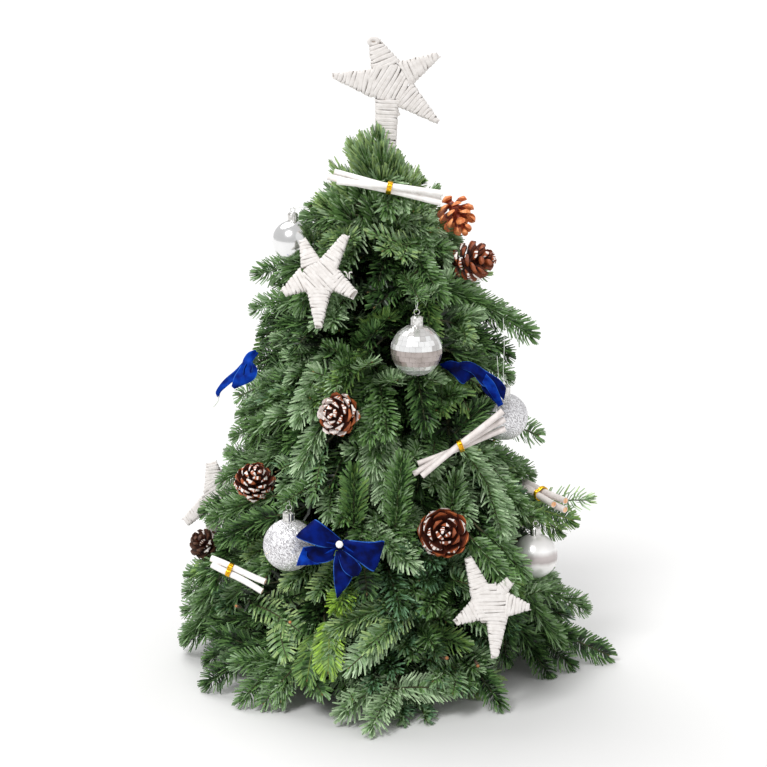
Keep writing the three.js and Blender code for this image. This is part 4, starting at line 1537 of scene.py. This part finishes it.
def ribbon(
    pile, side_a, side_b, n=28, across=9, bulge=0.0, thick=0.0009, m_front=0, m_back=0, m_sheen_edge=1, facing=None, ripple=0.0013
):
    """A closed strip of ribbon between two edge lines."""
    A, B = smooth_line(side_a, n), smooth_line(side_b, n)
    y = np.concatenate([[0.0], np.linspace(0.035, 0.965, across - 2), [1.0]])  # narrow rows at the woven edges
    g = A[:, None, :] * (1 - y)[None, :, None] + B[:, None, :] * y[None, :, None]
    du = np.gradient(g, axis=0)
    dv = np.gradient(g, axis=1)
    nrm = unit(np.cross(du, dv))
    if facing is not None and (nrm[0, across // 2] @ facing) < 0:
        nrm = -nrm
    hump = bulge * (4 * y * (1 - y))[None, :, None]
    g = g + nrm * hump
    if ripple:
        along = np.linspace(0, 1, n)[:, None]
        wave = np.sin(y[None, :] * 8.0 + 2.2 * along) * (1 - along) ** 1.2 + 0.5 * np.sin(along * 9.0 + y[None, :] * 3.0)
        g = g + nrm * (ripple * wave)[:, :, None]
    top, low = g + nrm * thick / 2, g - nrm * thick / 2
    v = np.concatenate([top.reshape(-1, 3), low.reshape(-1, 3)])
    k = n * across
    i = np.arange(n - 1)[:, None] * across
    j = np.arange(across - 1)[None, :]
    q = (i + j).ravel()
    ft = quads(q, q + across, q + across + 1, q + 1)
    fb = quads(k + q, k + q + 1, k + q + across + 1, k + q + across)
    border = (
        [(r_ * across, (r_ + 1) * across) for r_ in range(n - 1)]
        + [((n - 1) * across + c, (n - 1) * across + c + 1) for c in range(across - 1)]
        + [((r_ + 1) * across + across - 1, r_ * across + across - 1) for r_ in range(n - 2, -1, -1)]
        + [(c + 1, c) for c in range(across - 2, -1, -1)]
    )
    fs = []
    for e0, e1 in border:
        fs += [(e0, k + e0, k + e1), (e0, k + e1, e1)]
    col = np.concatenate([np.tile(np.arange(across - 1), n - 1)] * 2)
    # the two edge rows and the sides take the lighter edge colour, painted sheen
    rim = (col == 0) | (col == across - 2)
    mt = np.where(rim, m_sheen_edge, m_front)
    mb = np.where(rim, m_sheen_edge, m_back)
    pile.add(v, np.concatenate([ft, fb, fs]), np.concatenate([mt, mb, np.full(len(fs), m_sheen_edge)]))


def faceted_pearl(pile, centre, r, w, m=0):
    w = unit(w)
    s = unit(np.cross(w, [0.2, 0.1, 0.97]))
    t = np.cross(w, s)
    rings = []
    for h, q, off in ((-0.55, 0.55, 0), (-0.1, 0.98, 0.26), (0.25, 0.95, 0), (0.62, 0.55, 0.26)):
        ang = np.arange(8) * np.pi / 4 + off
        rings.append(centre + w * r * h + r * q * (np.cos(ang)[:, None] * s + np.sin(ang)[:, None] * t))
    v = np.concatenate(rings + [[centre + w * r * 0.78], [centre - w * r * 0.7]])
    i = np.arange(3)[:, None] * 8
    j = np.arange(8)[None, :]
    f = quads(i + j, i + (j + 1) % 8, i + 8 + (j + 1) % 8, i + 8 + j)
    jj = np.arange(8)
    f = np.concatenate(
        [f, np.stack([np.full(8, 32), 24 + jj, 24 + (jj + 1) % 8], 1), np.stack([np.full(8, 33), (jj + 1) % 8, jj], 1)]
    )
    pile.add(v, f, m)


def bow(name, seat, k=1.0, mirror=1):
    """The front bow, drawn in the photograph's pixels round (339, 544); k sizes it."""
    cx, cy = 339.0, 544.0

    def P(pts):
        return [seat.at(seat.c[0] + (x - cx) * k * mirror, seat.c[1] + (y - cy) * k, h * 0.001 * k) for x, y, h in pts]

    pile = Pile()
    w = seat.w
    # upper loop to the left
    ribbon(pile,
           P([(341, 539, 2), (330, 529, 8), (318, 520, 9), (315, 520, 3), (322, 524, -2), (341, 540, -2)]),
           P([(335, 547, 2), (320, 546, 8), (300, 538.5, 9), (297.5, 537, 3), (306, 540, -2), (334, 547, -2)]),
           34, 9, 0.0016, facing=w, m_back=2)
    # lower piece to the left, cupped, with a turned corner
    ribbon(pile,
           P([(337, 546, 1), (326, 547, 2), (314, 546, 1), (303, 547, 3)]),
           P([(333, 559, 3), (326, 562, 6), (314, 563.5, 8), (296.5, 565, 9)]),
           26, 9, -0.0030, facing=w, m_back=2)
    ribbon(pile,
           P([(303, 547.5, 3.6), (299, 557, 8), (296.5, 565, 10)]),
           P([(306, 552, 3.5), (309, 559, 7.5), (320, 563.4, 9)]),
           16, 6, 0.0004, facing=w, m_front=2, m_back=2)
    # loop to the right
    ribbon(pile,
           P([(343, 540, 2), (354, 540, 7), (370, 541.5, 10), (381, 540, 9), (384, 541, 3), (376, 542, -2), (345, 541, -2)]),
           P([(344, 549, 2), (353, 556.5, 7), (362, 563.5, 10), (370, 569.5, 9), (373, 570, 3), (364, 562, -2), (345, 549, -2)]),
           38, 9, 0.0018, facing=w, m_back=2)
    # the tail that hangs down behind
    ribbon(pile,
           P([(336, 551, 0), (333.5, 563, 2), (334, 580, 3), (337, 598.5, 2)]),
           P([(346, 553, 0), (353, 567, 2), (351, 580, 3.5), (340.5, 594.5, 2)]),
           28, 9, 0.0016, facing=w, m_back=2)
    # the loop that hangs in front, its mouth open down to the right
    ribbon(pile,
           P([(340, 549, 3), (347, 552, 8), (356, 559, 11), (361.5, 567, 11), (358, 572.5, 9), (351, 571, 5)]),
           P([(338, 552, 3), (339.5, 560, 7), (343, 569, 10), (350, 575, 11), (356, 575, 9), (357, 571.5, 6)]),
           30, 9, 0.0014, facing=w, m_back=2)
    ribbon(pile,
           P([(344, 553, 1), (352, 560, 2.5), (358, 567, 4), (360.5, 570, 6)]),
           P([(341, 556, 1), (344, 564, 2.5), (350, 572, 4), (356, 574.5, 6)]),
           20, 7, -0.0010, facing=w, m_front=2, m_back=0)
    # knot folds, most of them in the lighter reverse colour as painted highlight along the ridges
    for x0, y0, x1, y1, m in (
        (337, 541, 326, 532, 2), (336, 544, 324, 541, 2), (336, 548, 325, 553, 2), (343, 542, 358, 547, 2),
        (343, 545, 354, 552, 2), (343, 548, 350, 556, 0), (340, 550, 342, 562, 2), (344, 540, 356, 542, 0),
    ):
        pts = P([(x0, y0, 3.4), ((x0 + x1) / 2, (y0 + y1) / 2, 6.6), (x1, y1, 8.4)])
        tube(pile, resample(pts, 8)[0], [0.0005, 0.0010, 0.0013, 0.0013, 0.0011, 0.0008, 0.0005, 0.0002], 6, m)
    knot = P([(339, 545, 1.5)])[0]
    v, f = sphere_rows(knot, 0.0062 * k, 10, 14, seat.v)
    v = v - np.outer((v - knot) @ w, w) * 0.45
    pile.add(v, f, 0)
    obj = pile.build(name, [VELVET, VELVET_EDGE_SHEEN, VELVET_REVERSE_AND_HIGHLIGHT], True, "velvet")
    gem = Pile()
    faceted_pearl(gem, P([(339.5, 544.0, 6.0)])[0], 0.0044 * k, w)
    gem.build(name + "_pearl", [PEARL], False, "pearl")
    for x, y, r in ((318, 534, 12), (316, 556, 12), (364, 552, 14), (346, 565, 13), (339, 585, 7), (339, 545, 10)):
        p = P([(x, y, -6)])[0]
        keep_out(p, w, r * seat.s * k, 0.07)
    return obj


def side_bow(name, seat, strips):
    """A bow seen from its side: strips of (edge, other edge, bulge, material)."""
    pile = Pile()
    for a, b, bulge, m in strips:
        A = [seat.at(x, y, h * 0.001) for x, y, h in a]
        B = [seat.at(x, y, h * 0.001) for x, y, h in b]
        ribbon(pile, A, B, 26, 8, bulge, facing=seat.w, m_front=m, m_back=2 if m == 0 else 0)
        for i in range(len(a)):
            p = (A[i] + B[min(i, len(B) - 1)]) / 2 - seat.w * 0.006
            keep_out(p, seat.w, np.linalg.norm(A[i] - B[min(i, len(B) - 1)]) / 2 + 0.002, 0.07)
    pile.build(name, [VELVET, VELVET_EDGE_SHEEN, VELVET_REVERSE_AND_HIGHLIGHT], True, "velvet")


# ------------------------------------------------------------------ ornaments: bundles of white sticks
def sticks(name, seat, ends, tie, r_px=3.9, paint=None):
    """ends: (x0, y0, lift0, x1, y1, lift1) in pixels and millimetres for each stick; tie: (x, y, half width)."""
    pile = Pile()
    r = r_px * seat.s
    axes = []
    for x0, y0, h0, x1, y1, h1 in ends:
        a, b = seat.at(x0, y0, h0 * 0.001), seat.at(x1, y1, h1 * 0.001)
        n = 26
        line = a + (b - a) * np.linspace(0, 1, n)[:, None]
        d = unit(b - a)
        s = unit(np.cross(d, seat.w))
        t = np.cross(s, d)
        line = line + s * (0.0006 * np.sin(np.linspace(0, 5 + rng.random() * 2, n) + rng.random() * 6))[:, None]
        seed = rng.random() * 9

        def relief(i, ang, seed=seed):
            i, ang = np.broadcast_arrays(i, ang)
            return 1 + 0.035 * np.sin(2 * ang + 0.13 * i + seed) + 0.02 * np.sin(5 * ang + seed * 2 + 0.4 * np.sin(i * 0.7))

        tube(pile, line, r, 16, 0, up=seat.w, relief=relief, caps=False)
        for p, q in ((line[0], -d), (line[-1], d)):
            face = Pile()
            ring_v, rows = [], ((0.0, 1.0), (0.0, 0.84), (-0.10, 0.74), (-0.06, 0.40), (0.0, 0.0))
            ang = np.arange(16) * np.pi / 8
            for h, k in rows[:-1]:
                ring_v.append(p + q * r * h + r * k * (np.cos(ang)[:, None] * s + np.sin(ang)[:, None] * t))
            v = np.concatenate(ring_v + [[p - q * r * 0.08]])
            i = np.arange(3)[:, None] * 16
            j = np.arange(16)[None, :]
            f = quads(i + j, i + (j + 1) % 16, i + 16 + (j + 1) % 16, i + 16 + j)
            jj = np.arange(16)
            f = np.concatenate([f, np.stack([np.full(16, 64), 48 + jj, 48 + (jj + 1) % 16], 1)])
            if unit(q) @ np.cross(s, t) < 0:
                f = f[:, ::-1]
            row_of = np.concatenate([np.repeat(np.arange(3), 16)] * 2 + [np.full(16, 3)])
            pile.add(v, f, np.where(row_of == 0, 0, 1))
        axes.append((a, b))
        for q in np.linspace(0.04, 0.96, 9):
            keep_out(a + (b - a) * q - seat.w * 0.006, seat.w, r * 1.15, 0.06)
    pile.build(name, [paint or STICK, STICK_END], True, "white_stick")
    tx, ty, wide = tie
    at = seat.at(tx, ty, sum(e[2] + e[5] for e in ends) / len(ends) / 2 * 0.001)
    d = unit(axes[0][1] - axes[0][0])
    near = []
    for a, b in axes:
        k = ((at - a) @ unit(b - a)) / np.linalg.norm(b - a)
        near.append(a + (b - a) * k)
    mid = np.mean(near, axis=0)
    s = unit(np.cross(d, seat.w))
    t = np.cross(s, d)
    ang = np.linspace(0, 2 * np.pi, 33)[:-1]
    shape = []
    for q in ang:  # the wire lies on the outermost stick in each direction
        e = math.cos(q) * s + math.sin(q) * t
        far = max((p - mid) @ e for p in near) + r + 0.0004
        shape.append(far)
    shape = np.array(shape)
    gold = Pile()
    for off in (-0.0021, -0.0007, 0.0007, 0.0021):
        pts = mid + d * off + shape[:, None] * (np.cos(ang)[:, None] * s + np.sin(ang)[:, None] * t)
        out = unit(pts - (mid + d * off))
        q = np.arange(6) * np.pi / 3
        ring = pts[:, None, :] + 0.00085 * (np.cos(q)[None, :, None] * out[:, None, :] + np.sin(q)[None, :, None] * d)
        i, j = np.arange(32)[:, None], np.arange(6)[None, :]
        f = quads(i * 6 + j, ((i + 1) % 32) * 6 + j, ((i + 1) % 32) * 6 + (j + 1) % 6, i * 6 + (j + 1) % 6)
        gold.add(ring.reshape(-1, 3), f[:, ::-1], 0)
    gold.build(name + "_tie", [GOLD], True, "gold_wire")


# ------------------------------------------------------------------ ornaments: where each goes
def star_arms(tips, notches, tip_half):
    """Arms from tips and the notches between them, both clockwise; tips are (x, y, half width)."""
    arms = []
    n = len(tips)
    for i in range(n):
        na, nb = notches[i - 1], notches[i]
        tx, ty = tips[i][0], tips[i][1]
        h = tips[i][2] if len(tips[i]) > 2 else tip_half
        mx, my = (na[0] + nb[0]) / 2, (na[1] + nb[1]) / 2
        dx, dy = tx - mx, ty - my
        l = math.hypot(dx, dy)
        ax, ay = -dy / l, dx / l
        if (nb[0] - na[0]) * ax + (nb[1] - na[1]) * ay < 0:
            ax, ay = -ax, -ay
        arms.append((na, (tx - ax * h, ty - ay * h), (tx + ax * h, ty + ay * h), nb))
    return arms


def regular_star(radius, inner, turn, tip_half):
    tips, notches = [], []
    for i in range(5):
        a = math.radians(turn + 72 * i)
        b = math.radians(turn + 72 * i + 36)
        tips.append((radius * math.sin(a), -radius * math.cos(a), tip_half))
        notches.append((inner * math.sin(b), -inner * math.cos(b)))
    return star_arms(tips, notches, tip_half)


def cut_ends():
    """Sawn ends of small branches that show among the needles."""
    pile = Pile()
    for px, py, r, way in (
        (447, 658, 0.0024, (0.5, 0.1)), (478, 666, 0.0022, (0.2, -0.3)), (290, 622, 0.0020, (0.1, 0.2)),
        (236, 606, 0.0018, (-0.3, 0.2)),
    ):
        end = on_crown(px, py, 0.003)
        d = unit(-FORWARD + RIGHT * way[0] + UPWARD * way[1])
        tube(pile, [end - d * 0.016, end - d * 0.008, end - d * 0.0003], [r * 0.7, r * 0.9, r], 12, 0, relief=bark_relief(px, 0.05, 0.06))
        tube(pile, [end - d * 0.001, end, end + d * 0.0002], [r * 0.86, r * 0.84, r * 0.5], 12, 1)
        keep_out(end, -FORWARD, r + 0.001, 0.05)
    pile.build("cut_ends", [BARK, CUT], True, "bark")


def make_front_ornaments():
    # the star on the tip, in the plane of its solid
    p = np.array([-0.005, 0.0, 0.713])
    seat = Seat(p, (388.0, 82.0), 0.00122, RIGHT, Z)
    # pixels measured in the photograph, in a plane that leans back from the camera by the camera's pitch
    squeeze = 1 / math.cos(PITCH)

    def up_right(x, y):
        return (x, 82.0 + (y - 82.0) * squeeze)

    tips = [(375.5, 46.5, 6.2), (436, 57, 2.6), (436.5, 119.5, 1.6), (391, 116, 9.5), (334.5, 76, 2.0)]
    notches = [(399, 62.5), (413.5, 84), (396, 105), (376, 97.5), (370, 68)]
    tips = [up_right(a, b) + (h,) for a, b, h in tips]
    notches = [up_right(*q) for q in notches]
    arms = star_arms(tips, notches, 4)
    pile = wound_star(seat, arms, 0.0118, 0.0050, 19.5, 58.0)
    # its stem
    foot, head = np.array([-0.008, 0.002, 0.622]), np.array([-0.0062, 0.0, 0.694])

    def middle(x):
        return foot + (head - foot) * x

    wind(pile, middle, RIGHT, np.array([0.0, -1.0, 0.0]), Z, 17, lambda x: 0.0112 + 0.0022 * x, lambda x: 0.0098 - 0.003 * x, 0.0044, 18)
    # the stem's core, in the painted shade colour
    tube(pile, [foot - Z * 0.03, foot, head], [0.0070, 0.0082, 0.0060], 12, 1)
    eye = seat.at(*up_right(374.3, 45.0))
    ring_tube(pile, eye, 0.0046, 0.0029, seat.u, seat.v, 0, 20, 8, 0.72)
    # painted shade in the hole of the eye
    tube(pile, [eye - seat.w * 0.002, eye, eye + seat.w * 0.0006], 0.0026, 10, 1)
    pile.build("paper_star_top", [PAPER, STAR_CORE_SHADE], False, "paper_cord", ["top_star"])
    for zz in np.linspace(0.655, 0.69, 4):
        keep_out(np.array([-0.008, 0.004, zz]), -FORWARD, 0.0145, 0.06)

    # second star, upper left
    seat = seat_front(320.0, 279.0, 0.012, turn=-0.12, lean=13.0)
    arms = [
        ((300.5, 268), (297.5, 239), (303.5, 237), (319, 256)),
        ((320.5, 257), (342.5, 233), (348.5, 235), (338, 268.5)),
        ((336.5, 268), (359, 292.5), (352, 298.5), (333, 293)),
        ((332, 292), (323.5, 328), (317, 328.5), (307, 292)),
        ((307, 293), (285, 296.5), (281, 290), (299, 268)),
    ]
    wound_star(seat, arms, 0.0105, 0.0042, 19.0, -48.0).build("paper_star_a", [PAPER, STAR_CORE_SHADE], False, "paper_cord")
    # loose ends of its cord
    loose = Pile()
    for a, b, c in (((345, 273), (347.5, 275), (349, 279)), ((353, 274), (350.5, 275), (350.5, 280))):
        pts = [seat.at(*a, 0.006), seat.at(*b, 0.008), seat.at(*c, 0.003)]
        tube(loose, smooth_line(pts, 8), 0.0008, 5, 0)
    loose.build("paper_star_a_ends", [PAPER], True, "paper_cord")

    # third star, lower right
    seat = seat_front(490.0, 603.0, 0.018, turn=0.10, lean=6.0)
    arms = [
        ((470, 595), (465, 558), (471.5, 556.5), (491, 587)),
        ((494, 588), (508, 577), (514, 584), (509, 593)),
        ((508, 592), (531, 605), (530, 610), (509, 618)),
        ((508, 617), (497, 657), (490.5, 657.5), (485, 619)),
        ((485, 620), (456, 624.5), (454, 619), (471, 598)),
    ]
    wound_star(seat, arms, 0.0105, 0.0042, 19.5, 0.0).build("paper_star_b", [PAPER, STAR_CORE_SHADE], False, "paper_cord")

    # fourth star, at the left edge, half behind the foliage
    seat = seat_front(222.0, 498.0, 0.0, y=0.030, turn=-0.3)
    arms = [
        ((203, 492), (205, 463), (216, 462), (228, 480)),
        ((229, 482), (252, 470), (258, 480), (240, 500)),
        ((240, 502), (252, 530), (243, 536), (226, 518)),
        ((224, 518), (214, 540), (204, 538), (206, 514)),
        ((206, 513), (184, 528), (180, 519), (201, 496)),
    ]
    pile = wound_star(seat, arms, 0.0105, 0.0042, 20.0, 30.0)
    pile.build("paper_star_c", [PAPER, STAR_CORE_SHADE], False, "paper_cord")

    # balls
    seat = seat_front(416.5, 350.0, 0.0)
    hang_ball("mirror", "mirror_ball_a", seat, 416.5, 350.0, 25.8, 0.12, thread=0.034)
    seat = seat_front(290.0, 544.0, 0.0)
    hang_ball("glitter", "glitter_ball_a", seat, 289.5, 544.5, 26.0, 0.2, thread=0.024)
    seat = seat_front(504.0, 417.0, 0.0, y=-0.050)
    hang_ball("glitter", "glitter_ball_b", seat, 504.5, 416.5, 23.4, 0.0, thread=0.024, past=0.004)
    seat = seat_front(488.0, 412.0, 0.0, y=-0.034)
    hang_ball("shiny", "silver_ball_b", seat, 487.0, 413.0, 18.0, 0.0, thread=0.02, past=0.0)
    seat = seat_front(293.0, 240.0, 0.0, y=-0.020)
    hang_ball("shiny", "silver_ball_a", seat, 293.0, 241.0, 21.0, 0.0, thread=0.016, past=-0.004, fill=0.5, aside=0.017)
    seat = seat_front(539.0, 555.0, 0.0, y=-0.060)
    hang_ball("satin", "satin_ball_a", seat, 535.0, 555.5, 22.5, 0.0, thread=0.02, past=0.004)

    # cones
    seat = seat_front(335.0, 413.0, 0.0)
    seat_cone("cone_a", seat, 337.0, 414.0, 23.0, 36.0, (-0.55, 0.06, 0.83), 0.82, 11, 0.008, rim=0.9)
    seat = seat_front(444.0, 532.0, 0.004)
    seat_cone("cone_b", seat, 443.5, 533.0, 27.5, 34.0, (0.08, 0.22, 0.96), 1.0, 12, 0.004, rim=0.9, style="rose", n=34, broad=1.14, colour=CONE_BROWN, curl=0.30)
    seat = seat_front(475.0, 262.0, 0.0, y=-0.040)
    seat_cone("cone_c", seat, 475.0, 261.0, 21.5, 49.0, (0.80, 0.08, 0.50), 0.55, 13, 0.0, rim=0.4, n=40, style="rim", colour=CONE_BROWN)
    seat = seat_front(459.0, 214.0, 0.0, y=-0.010)
    seat_cone("cone_d", seat, 458.0, 217.5, 20.5, 47.0, (0.34, -0.72, 0.52), 0.0, 14, 0.0, rim=1.0, n=27, colour=CONE_ORANGE, inner=CONE_RED_SHADE)
    seat = seat_front(255.0, 479.0, 0.0)
    seat_cone("cone_e", seat, 255.0, 480.0, 21.5, 38.0, (0.20, 0.66, 0.68), 1.0, 15, 0.006, rim=0.8, style="rim", n=44)
    seat = seat_front(205.0, 543.0, 0.0, y=-0.010)
    seat_cone("cone_f", seat, 203.5, 543.0, 17.0, 32.0, (-0.45, 0.45, 0.5), 0.25, 16, 0.0, rim=0.0, style="rim", inner=CONE_INNER_SHADE, colour=CONE_UMBER)

    # bows
    seat = seat_front(339.0, 544.0, 0.019)
    bow("bow_a", seat)
    # on the side bows, strips with material 2 show the lighter reverse colour on their fronts as painted highlight
    seat = seat_front(474.0, 385.0, 0.0, y=-0.085)
    side_bow("bow_b", seat, [
        ([(440, 364, 0), (452, 361, 6), (470, 368, 4), (476, 376, 0)],
         [(443, 366, 0), (452, 374, 8), (462, 384, 8), (470, 378, 2)], 0.0012, 0),
        ([(455, 363, 3), (470, 362, 6), (486, 371, 5), (500, 380, 2), (506, 388, 0)],
         [(462, 369, 6), (472, 374, 9), (482, 386, 8), (490, 386, 4), (504, 400, 0)], 0.0016, 0),
        ([(486, 374, 8), (494, 383, 10), (499, 394, 8), (503, 404, 6)],
         [(482, 382, 8), (486, 388, 9), (493, 398, 7), (498, 407, 5)], 0.0012, 2),
        ([(485, 384, 6), (489, 392, 6), (496, 401, 4)],
         [(481, 385, 4), (484, 391, 4), (499, 407, 3)], 0.0006, 0),
    ])
    seat = seat_front(244.0, 372.0, 0.0, y=-0.060)
    side_bow("bow_c", seat, [
        ([(254, 350, 0), (247, 354, 5), (243, 362, 6), (246, 370, 3)],
         [(258, 354, 0), (254, 360, 6), (251, 366, 8), (252, 372, 4)], 0.0012, 2),
        ([(243, 362, 6), (240, 368, 8), (235, 376, 8), (232, 386, 6)],
         [(253, 362, 8), (258, 370, 9), (254, 380, 9), (235, 389, 6)], 0.0022, 2),
        ([(244, 361, 5), (236, 370, 5), (224, 380, 3), (216, 391, 0), (217, 397, 0)],
         [(243, 368, 6), (237, 378, 6), (228, 386, 4), (221, 392, 0), (219, 398, 0)], 0.0006, 2),
        ([(247, 364, 9), (244, 370, 11), (244, 377, 10)],
         [(252, 362, 9), (253, 370, 11), (250, 380, 10)], -0.0022, 0),
    ])
    tail = Pile()
    tube(tail, smooth_line([seat.at(218, 396, 0), seat.at(218.5, 400, 0.001), seat.at(216, 404, 0), seat.at(213, 407, 0)], 10), 0.0007, 5, 0)
    tail.build("bow_c_thread", [THREAD], True, "paper_cord")

    # bundles of sticks; those at the top and the left take a lighter copy of the white paint as painted light
    seat = seat_front(386.0, 188.0, 0.016)
    sticks("sticks_a", seat, [
        (328, 176.5, 3, 441, 203.0, 3), (334, 172.0, -3, 440, 198.5, -3), (337, 181.5, 9, 443, 193.5, 9),
    ], (389.5, 188.0, 3), 3.2, STICK_PAINTED_LIGHT)
    seat = seat_front(460.0, 447.0, 0.016)
    sticks("sticks_b", seat, [
        (418, 464.0, 0, 505.5, 429, 0), (413, 473.5, 6, 504.5, 419, 6), (421.5, 475.5, 12, 502, 410.5, 12),
    ], (460.0, 445.5, 3), 3.1)
    seat = seat_front(236.0, 575.0, 0.012)
    sticks("sticks_c", seat, [
        (211, 558.5, -2, 266, 580.5, 13), (212, 564, 0, 263, 590, 11),
    ], (230.0, 570.0, 3), 3.2, STICK_PAINTED_LIGHT)
    seat = seat_front(556.0, 502.0, 0.0, y=-0.050)
    sticks("sticks_d", seat, [
        (520.5, 483, -61, 552.5, 504, 14), (527, 484, -50, 564.5, 500.5, 12), (524, 489, -42, 564, 509, 16),
    ], (541.0, 494.5, 3), 3.4)
    # clear threads that hang at the right
    pile = Pile()
    seat = seat_front(500.0, 360.0, 0.0, y=-0.060)
    for pts in (((503, 318, 4), (504, 345, 6), (503, 372, 5), (505, 398, 3)), ((497, 356, 2), (498, 372, 3), (499, 388, 2))):
        tube(pile, smooth_line([seat.at(x, y, h * 0.001) for x, y, h in pts], 14), 0.00035, 5, 0)
    pile.build("threads", [THREAD], True, "paper_cord")


def make_back_ornaments():
    """The side that the photograph doesn't show, dressed with more of the same."""
    for i, (az, z, turn) in enumerate(((82, 0.455, 20), (132, 0.235, -14), (44, 0.150, 8))):
        seat = seat_round(az, z, 0.010, 24, turn)
        arms = regular_star(46, 18.5, 0, 3.6)
        wound_star(seat, arms, 0.0105, 0.0042, 18.5, 25.0 * i - 30).build(
            f"paper_star_{'def'[i]}", [PAPER, STAR_CORE_SHADE], False, "paper_cord")
    for i, (kind, az, z) in enumerate((
        ("mirror", 105, 0.335), ("glitter", 62, 0.275), ("satin", 150, 0.155), ("shiny", 112, 0.545), ("satin", 56, 0.435), ("glitter", 98, 0.115),
    )):
        seat = seat_round(az, z, 0.0, 8)
        hang_ball(kind, f"{kind}_ball_r{i + 1}", seat, 0, 0, 25.0 if kind in ("mirror", "glitter") else 22.0, 0.15, thread=0.03)
    for i, (az, z, frost, axis) in enumerate((
        (52, 0.385, 0.9, (0.2, 0.1, 0.9)), (120, 0.395, 0.5, (-0.5, 0.3, 0.8)), (88, 0.195, 0.8, (0.1, 0.4, 0.9)),
        (58, 0.215, 0.4, (0.2, 0.3, 0.9)), (128, 0.090, 0.9, (0.0, 0.5, 0.85)),
    )):
        seat = seat_round(az, z, 0.002, 8)
        seat_cone(f"cone_r{i + 1}", seat, 0, 0, 23.0, 36.0, axis, frost, 30 + i, 0.006, rim=0.7)
    for i, (az, z) in enumerate(((122, 0.470), (70, 0.140))):
        seat = seat_round(az, z, 0.012, 12, 10 - 25 * i)
        bow(f"bow_r{i + 1}", seat, 1.0, -1 if i else 1)
    for i, (az, z, roll) in enumerate(((95, 0.575, 12), (118, 0.300, -24), (62, 0.070, 12))):
        seat = seat_round(az, z, 0.012, 8, roll)
        sticks(f"sticks_r{i + 1}", seat, [(-56, -2, 0, 56, 3, 0), (-50, -6, 6, 52, -3, 6), (-52, 5, 4, 54, -7, 3)], (0, 0, 3), 3.7)


# ------------------------------------------------------------------ making it all
make_trunk()
make_limbs()
make_front_ornaments()
make_back_ornaments()
cut_ends()
for px, py, r_px in ((497, 284, 9), (510, 297, 8), (522, 304, 8), (500, 336, 7), (514, 346, 7), (524, 356, 9), (518, 374, 7), (518, 450, 9), (532, 446, 9), (546, 462, 9), (580, 628, 7), (592, 630, 8), (567, 566, 9)):
    sky(px, py, r_px)
grow_top()
grow_shown(SHOWN)
grow_crown()
grow_shown(LAST)
bark = BARK_PILE.build(
    "bark",
    [BARK],
    True,
    "bark",
    ["trunk"] + [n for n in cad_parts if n.startswith("bough_")],
)
for node, along in (("stand_plank_lower", "y"), ("stand_plank_upper", "x")):
    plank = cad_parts[node]
    wood = wood_material("wood_" + along, (122, 88, 52), (186, 146, 98), along)
    for place in plank.material_slots:
        place.material = wood
total = build_needles()
TWIGS.build("twigs", [TWIG, TWIG_GREEN], True, "bark")
BUDS.build("buds", [BUD], False, "bark")
studio()
print("sprays", SPRAYS, "needle triangles", total, "twigs", TWIGS.triangles(), "buds", BUDS.triangles())
